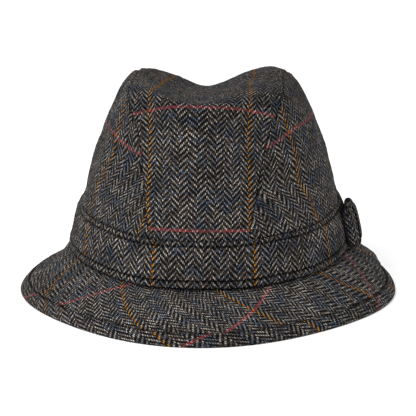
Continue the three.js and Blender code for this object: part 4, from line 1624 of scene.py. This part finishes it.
def tweed(part):
    """The hat's tweed on the cloth coordinates of one part, with its own start of the check."""
    name = part + "_herringbone"
    made = bpy.data.materials.get(name)
    if made:
        return made
    made = bpy.data.materials.new(name)
    made.use_nodes = True
    tree = made.node_tree
    tree.nodes.clear()
    w = Wiring(tree)
    tones = cloth()
    uv = w.node("ShaderNodeUVMap", uv_map="cloth")
    place = w.node("ShaderNodeMapping", vector_type="POINT")
    place.inputs["Location"].default_value = (*CHECK_STARTS[part], 0.0)
    w.feed(place.inputs["Vector"], uv.outputs[0])
    spot = place.outputs[0]

    def group_node(group_name, **values):
        """A shared group in this material. An underscore in a value's name stands for a space."""
        used = w.node("ShaderNodeGroup", node_tree=shared_group(group_name))
        for label, value in values.items():
            w.feed(used.inputs[label.replace("_", " ")], value)
        return used

    weave = group_node(
        "herringbone_weave",
        Cloth=spot,
        End_Spacing=tones.end_spacing,
        Pick_Spacing=tones.pick_spacing,
    ).outputs
    picture = group_node(
        "tweed_yarn_colours",
        Cloth=spot,
        Upright=weave["Upright"],
        End=weave["End"],
        Pick=weave["Pick"],
        Float_Number=weave["Float Number"],
        Height=weave["Height"],
        Upright_Check_Ends=float(round(tones.upright_check / tones.end_spacing)),
        Level_Check_Picks=float(round(tones.level_check / tones.pick_spacing)),
        **{label: (*getattr(tones, label.lower().replace(" ", "_")), 1.0) for label in YARN_COLOURS},
    ).outputs
    wool = group_node("wool_fibres", Cloth=spot, Height=weave["Height"]).outputs
    fuzzed = w.mix(w.math("MULTIPLY", wool["Fuzz"], 0.12), picture["Color"], (*tones.grey_yarn, 1.0))
    # The colour is scaled by the painted light and shade stored on each vertex.
    with_painted_light_and_shade = w.shaded(fuzzed, w.node("ShaderNodeAttribute", attribute_name="painted_light_and_shade").outputs["Fac"])
    bump = w.node("ShaderNodeBump")
    bump.inputs["Strength"].default_value = BUMP_STRENGTH
    bump.inputs["Distance"].default_value = BUMP_DEPTH
    w.feed(bump.inputs["Height"], wool["Height"])
    shader = w.node("ShaderNodeBsdfPrincipled")
    w.feed(shader.inputs["Base Color"], with_painted_light_and_shade)
    w.feed(shader.inputs["Roughness"], wool["Roughness"])
    w.feed(shader.inputs["Normal"], bump.outputs[0])
    shader.inputs["Specular IOR Level"].default_value = 0.02
    shader.inputs["Sheen Weight"].default_value = 0.008
    shader.inputs["Sheen Roughness"].default_value = 0.45
    shader.inputs["Sheen Tint"].default_value = (0.9, 0.88, 0.85, 1.0)
    leave = w.node("ShaderNodeOutputMaterial")
    w.feed(leave.inputs["Surface"], shader.outputs[0])
    return made


def finish_piece(thing, node, material):
    """Gives a piece its cloth, hides the solid that it stands for and puts it on the body that it
    rides on."""
    thing.data.materials.append(material)
    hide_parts(node)
    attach(thing, "root")


# One operator for each piece or group of like pieces.


class TRILBY_OT_crown(bpy.types.Operator):
    """Make the crown's centre panel and its two side panels."""

    bl_idname = "trilby.crown"
    bl_label = "Crown panels"

    def execute(self, context):
        centre = crown_centre_cloth()
        finish_piece(centre, "crown_centre", tweed("centre_panel"))
        left = crown_side_cloth(1, "crown_side_left_cloth")
        finish_piece(left, "crown_side_left", tweed("left_panel"))
        right = crown_side_cloth(-1, "crown_side_right_cloth")
        finish_piece(right, "crown_side_right", tweed("right_panel"))
        return {"FINISHED"}


class TRILBY_OT_band(bpy.types.Operator):
    """Make the band round the crown."""

    bl_idname = "trilby.band"
    bl_label = "Hat band"

    def execute(self, context):
        finish_piece(hat_band_cloth(), "hat_band", tweed("band"))
        return {"FINISHED"}


class TRILBY_OT_bow(bpy.types.Operator):
    """Make the flat bow and the wrap round its waist."""

    bl_idname = "trilby.bow"
    bl_label = "Bow and wrap"

    def execute(self, context):
        finish_piece(band_bow_cloth(), "band_bow", tweed("bow"))
        finish_piece(bow_wrap_cloth(), "bow_wrap", tweed("bow"))
        return {"FINISHED"}


class TRILBY_OT_brim(bpy.types.Operator):
    """Make the brim and the strip that binds its edge."""

    bl_idname = "trilby.brim"
    bl_label = "Brim and edge strip"

    def execute(self, context):
        finish_piece(brim_cloth(), "brim", tweed("brim"))
        finish_piece(brim_edge_cloth(), "brim_edge", tweed("edge_strip"))
        return {"FINISHED"}


# The lights: where each stands, how wide it is and its power in watts. All face one point.
LIGHTS = table(
    "name place size power",
    ("front_light", (-0.5, -1.35, 1.25), 1.2, 20.0),
    ("left_light", (1.3, -0.6, 0.9), 0.9, 2.5),
    ("right_light", (-1.3, -0.4, 0.8), 0.9, 7.0),
)
LIGHTS_AIM = (0.0, 0.0, 0.06)

# Half of the floor's width, and how far the picture is moved: pixels over the picture's width.
FLOOR_REACH = 6.0
PICTURE_WIDTH = 416
SHIFT_RIGHT = -0.7
SHIFT_UP = -13.9


def area_light(name, place, size, power):
    """A square soft light at a place, turned to face the hat."""
    data = bpy.data.lights.new(name, "AREA")
    data.size = size
    data.energy = power
    light = bpy.data.objects.new(name, data)
    light.location = place
    towards = Vector(LIGHTS_AIM) - Vector(place)
    light.rotation_euler = towards.to_track_quat("-Z", "Y").to_euler()
    bpy.context.scene.collection.objects.link(light)


class TRILBY_OT_stage(bpy.types.Operator):
    """Make the pale floor, the soft lights and the camera."""

    bl_idname = "trilby.stage"
    bl_label = "Floor, lights and camera"

    def execute(self, context):
        sizes = context.scene.trilby_stage
        floor_mesh = bpy.data.meshes.new("floor")
        corners = [(x * FLOOR_REACH, y * FLOOR_REACH, 0) for x, y in ((-1, -1), (1, -1), (1, 1), (-1, 1))]
        floor_mesh.from_pydata(corners, [], [(0, 1, 2, 3)])
        floor = bpy.data.objects.new("floor", floor_mesh)
        context.scene.collection.objects.link(floor)
        paint = bpy.data.materials.new("pale_floor")
        paint.use_nodes = True
        shader = paint.node_tree.nodes["Principled BSDF"]
        shader.inputs["Base Color"].default_value = (*sizes.floor_colour, 1.0)
        shader.inputs["Roughness"].default_value = 0.9
        floor_mesh.materials.append(paint)
        world = bpy.data.worlds.new("studio")
        world.use_nodes = True
        sky = world.node_tree.nodes["Background"]
        sky.inputs["Color"].default_value = (1.0, 1.0, 1.0, 1.0)
        sky.inputs["Strength"].default_value = 1.0
        context.scene.world = world
        context.scene.view_settings.view_transform = "Standard"
        for light in LIGHTS:
            area_light(**light)
        data = bpy.data.cameras.new("camera")
        data.sensor_width = 36.0
        data.lens = sizes.focal
        data.shift_x = SHIFT_RIGHT / PICTURE_WIDTH
        data.shift_y = SHIFT_UP / PICTURE_WIDTH
        data.dof.use_dof = False
        camera = bpy.data.objects.new("camera", data)
        target = Vector((0.0, sizes.aim_back, sizes.aim_height))
        side, rise = sizes.camera_side, sizes.camera_rise
        away = Vector((math.sin(side) * math.cos(rise), -math.cos(side) * math.cos(rise), math.sin(rise)))
        camera.location = target + away * sizes.camera_distance
        camera.rotation_euler = (-away).to_track_quat("-Z", "Y").to_euler()
        context.scene.collection.objects.link(camera)
        context.scene.camera = camera
        return {"FINISHED"}


OPERATORS = (TRILBY_OT_stage, TRILBY_OT_crown, TRILBY_OT_band, TRILBY_OT_bow, TRILBY_OT_brim)


class TRILBY_PT_panel(bpy.types.Panel):
    """Lists the trilby's pieces in the sidebar."""

    bl_idname = "TRILBY_PT_panel"
    bl_label = "Tweed trilby"
    bl_space_type = "VIEW_3D"
    bl_region_type = "UI"
    bl_category = "Trilby"

    def draw(self, context):
        for operator in OPERATORS:
            self.layout.operator(operator.bl_idname)


SETTINGS = {
    "trilby_crown": TrilbyCrownSizes,
    "trilby_brim": TrilbyBrimSizes,
    "trilby_band": TrilbyBandSizes,
    "trilby_cloth": TrilbyCloth,
    "trilby_stage": TrilbyStageSizes,
}
CLASSES = (*SETTINGS.values(), *OPERATORS, TRILBY_PT_panel)


def register():
    """Makes the classes known and puts their controls on the scene."""
    for made in CLASSES:
        bpy.utils.register_class(made)
    for name, group in SETTINGS.items():
        setattr(bpy.types.Scene, name, bpy.props.PointerProperty(type=group))


def unregister():
    """Takes the controls and the classes away again."""
    for name in SETTINGS:
        delattr(bpy.types.Scene, name)
    for made in reversed(CLASSES):
        bpy.utils.unregister_class(made)


def main():
    """Registers the add-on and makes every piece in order."""
    register()
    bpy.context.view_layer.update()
    bpy.ops.trilby.stage()
    bpy.ops.trilby.crown()
    bpy.ops.trilby.band()
    bpy.ops.trilby.bow()
    bpy.ops.trilby.brim()


if __name__ == "__main__":
    main()
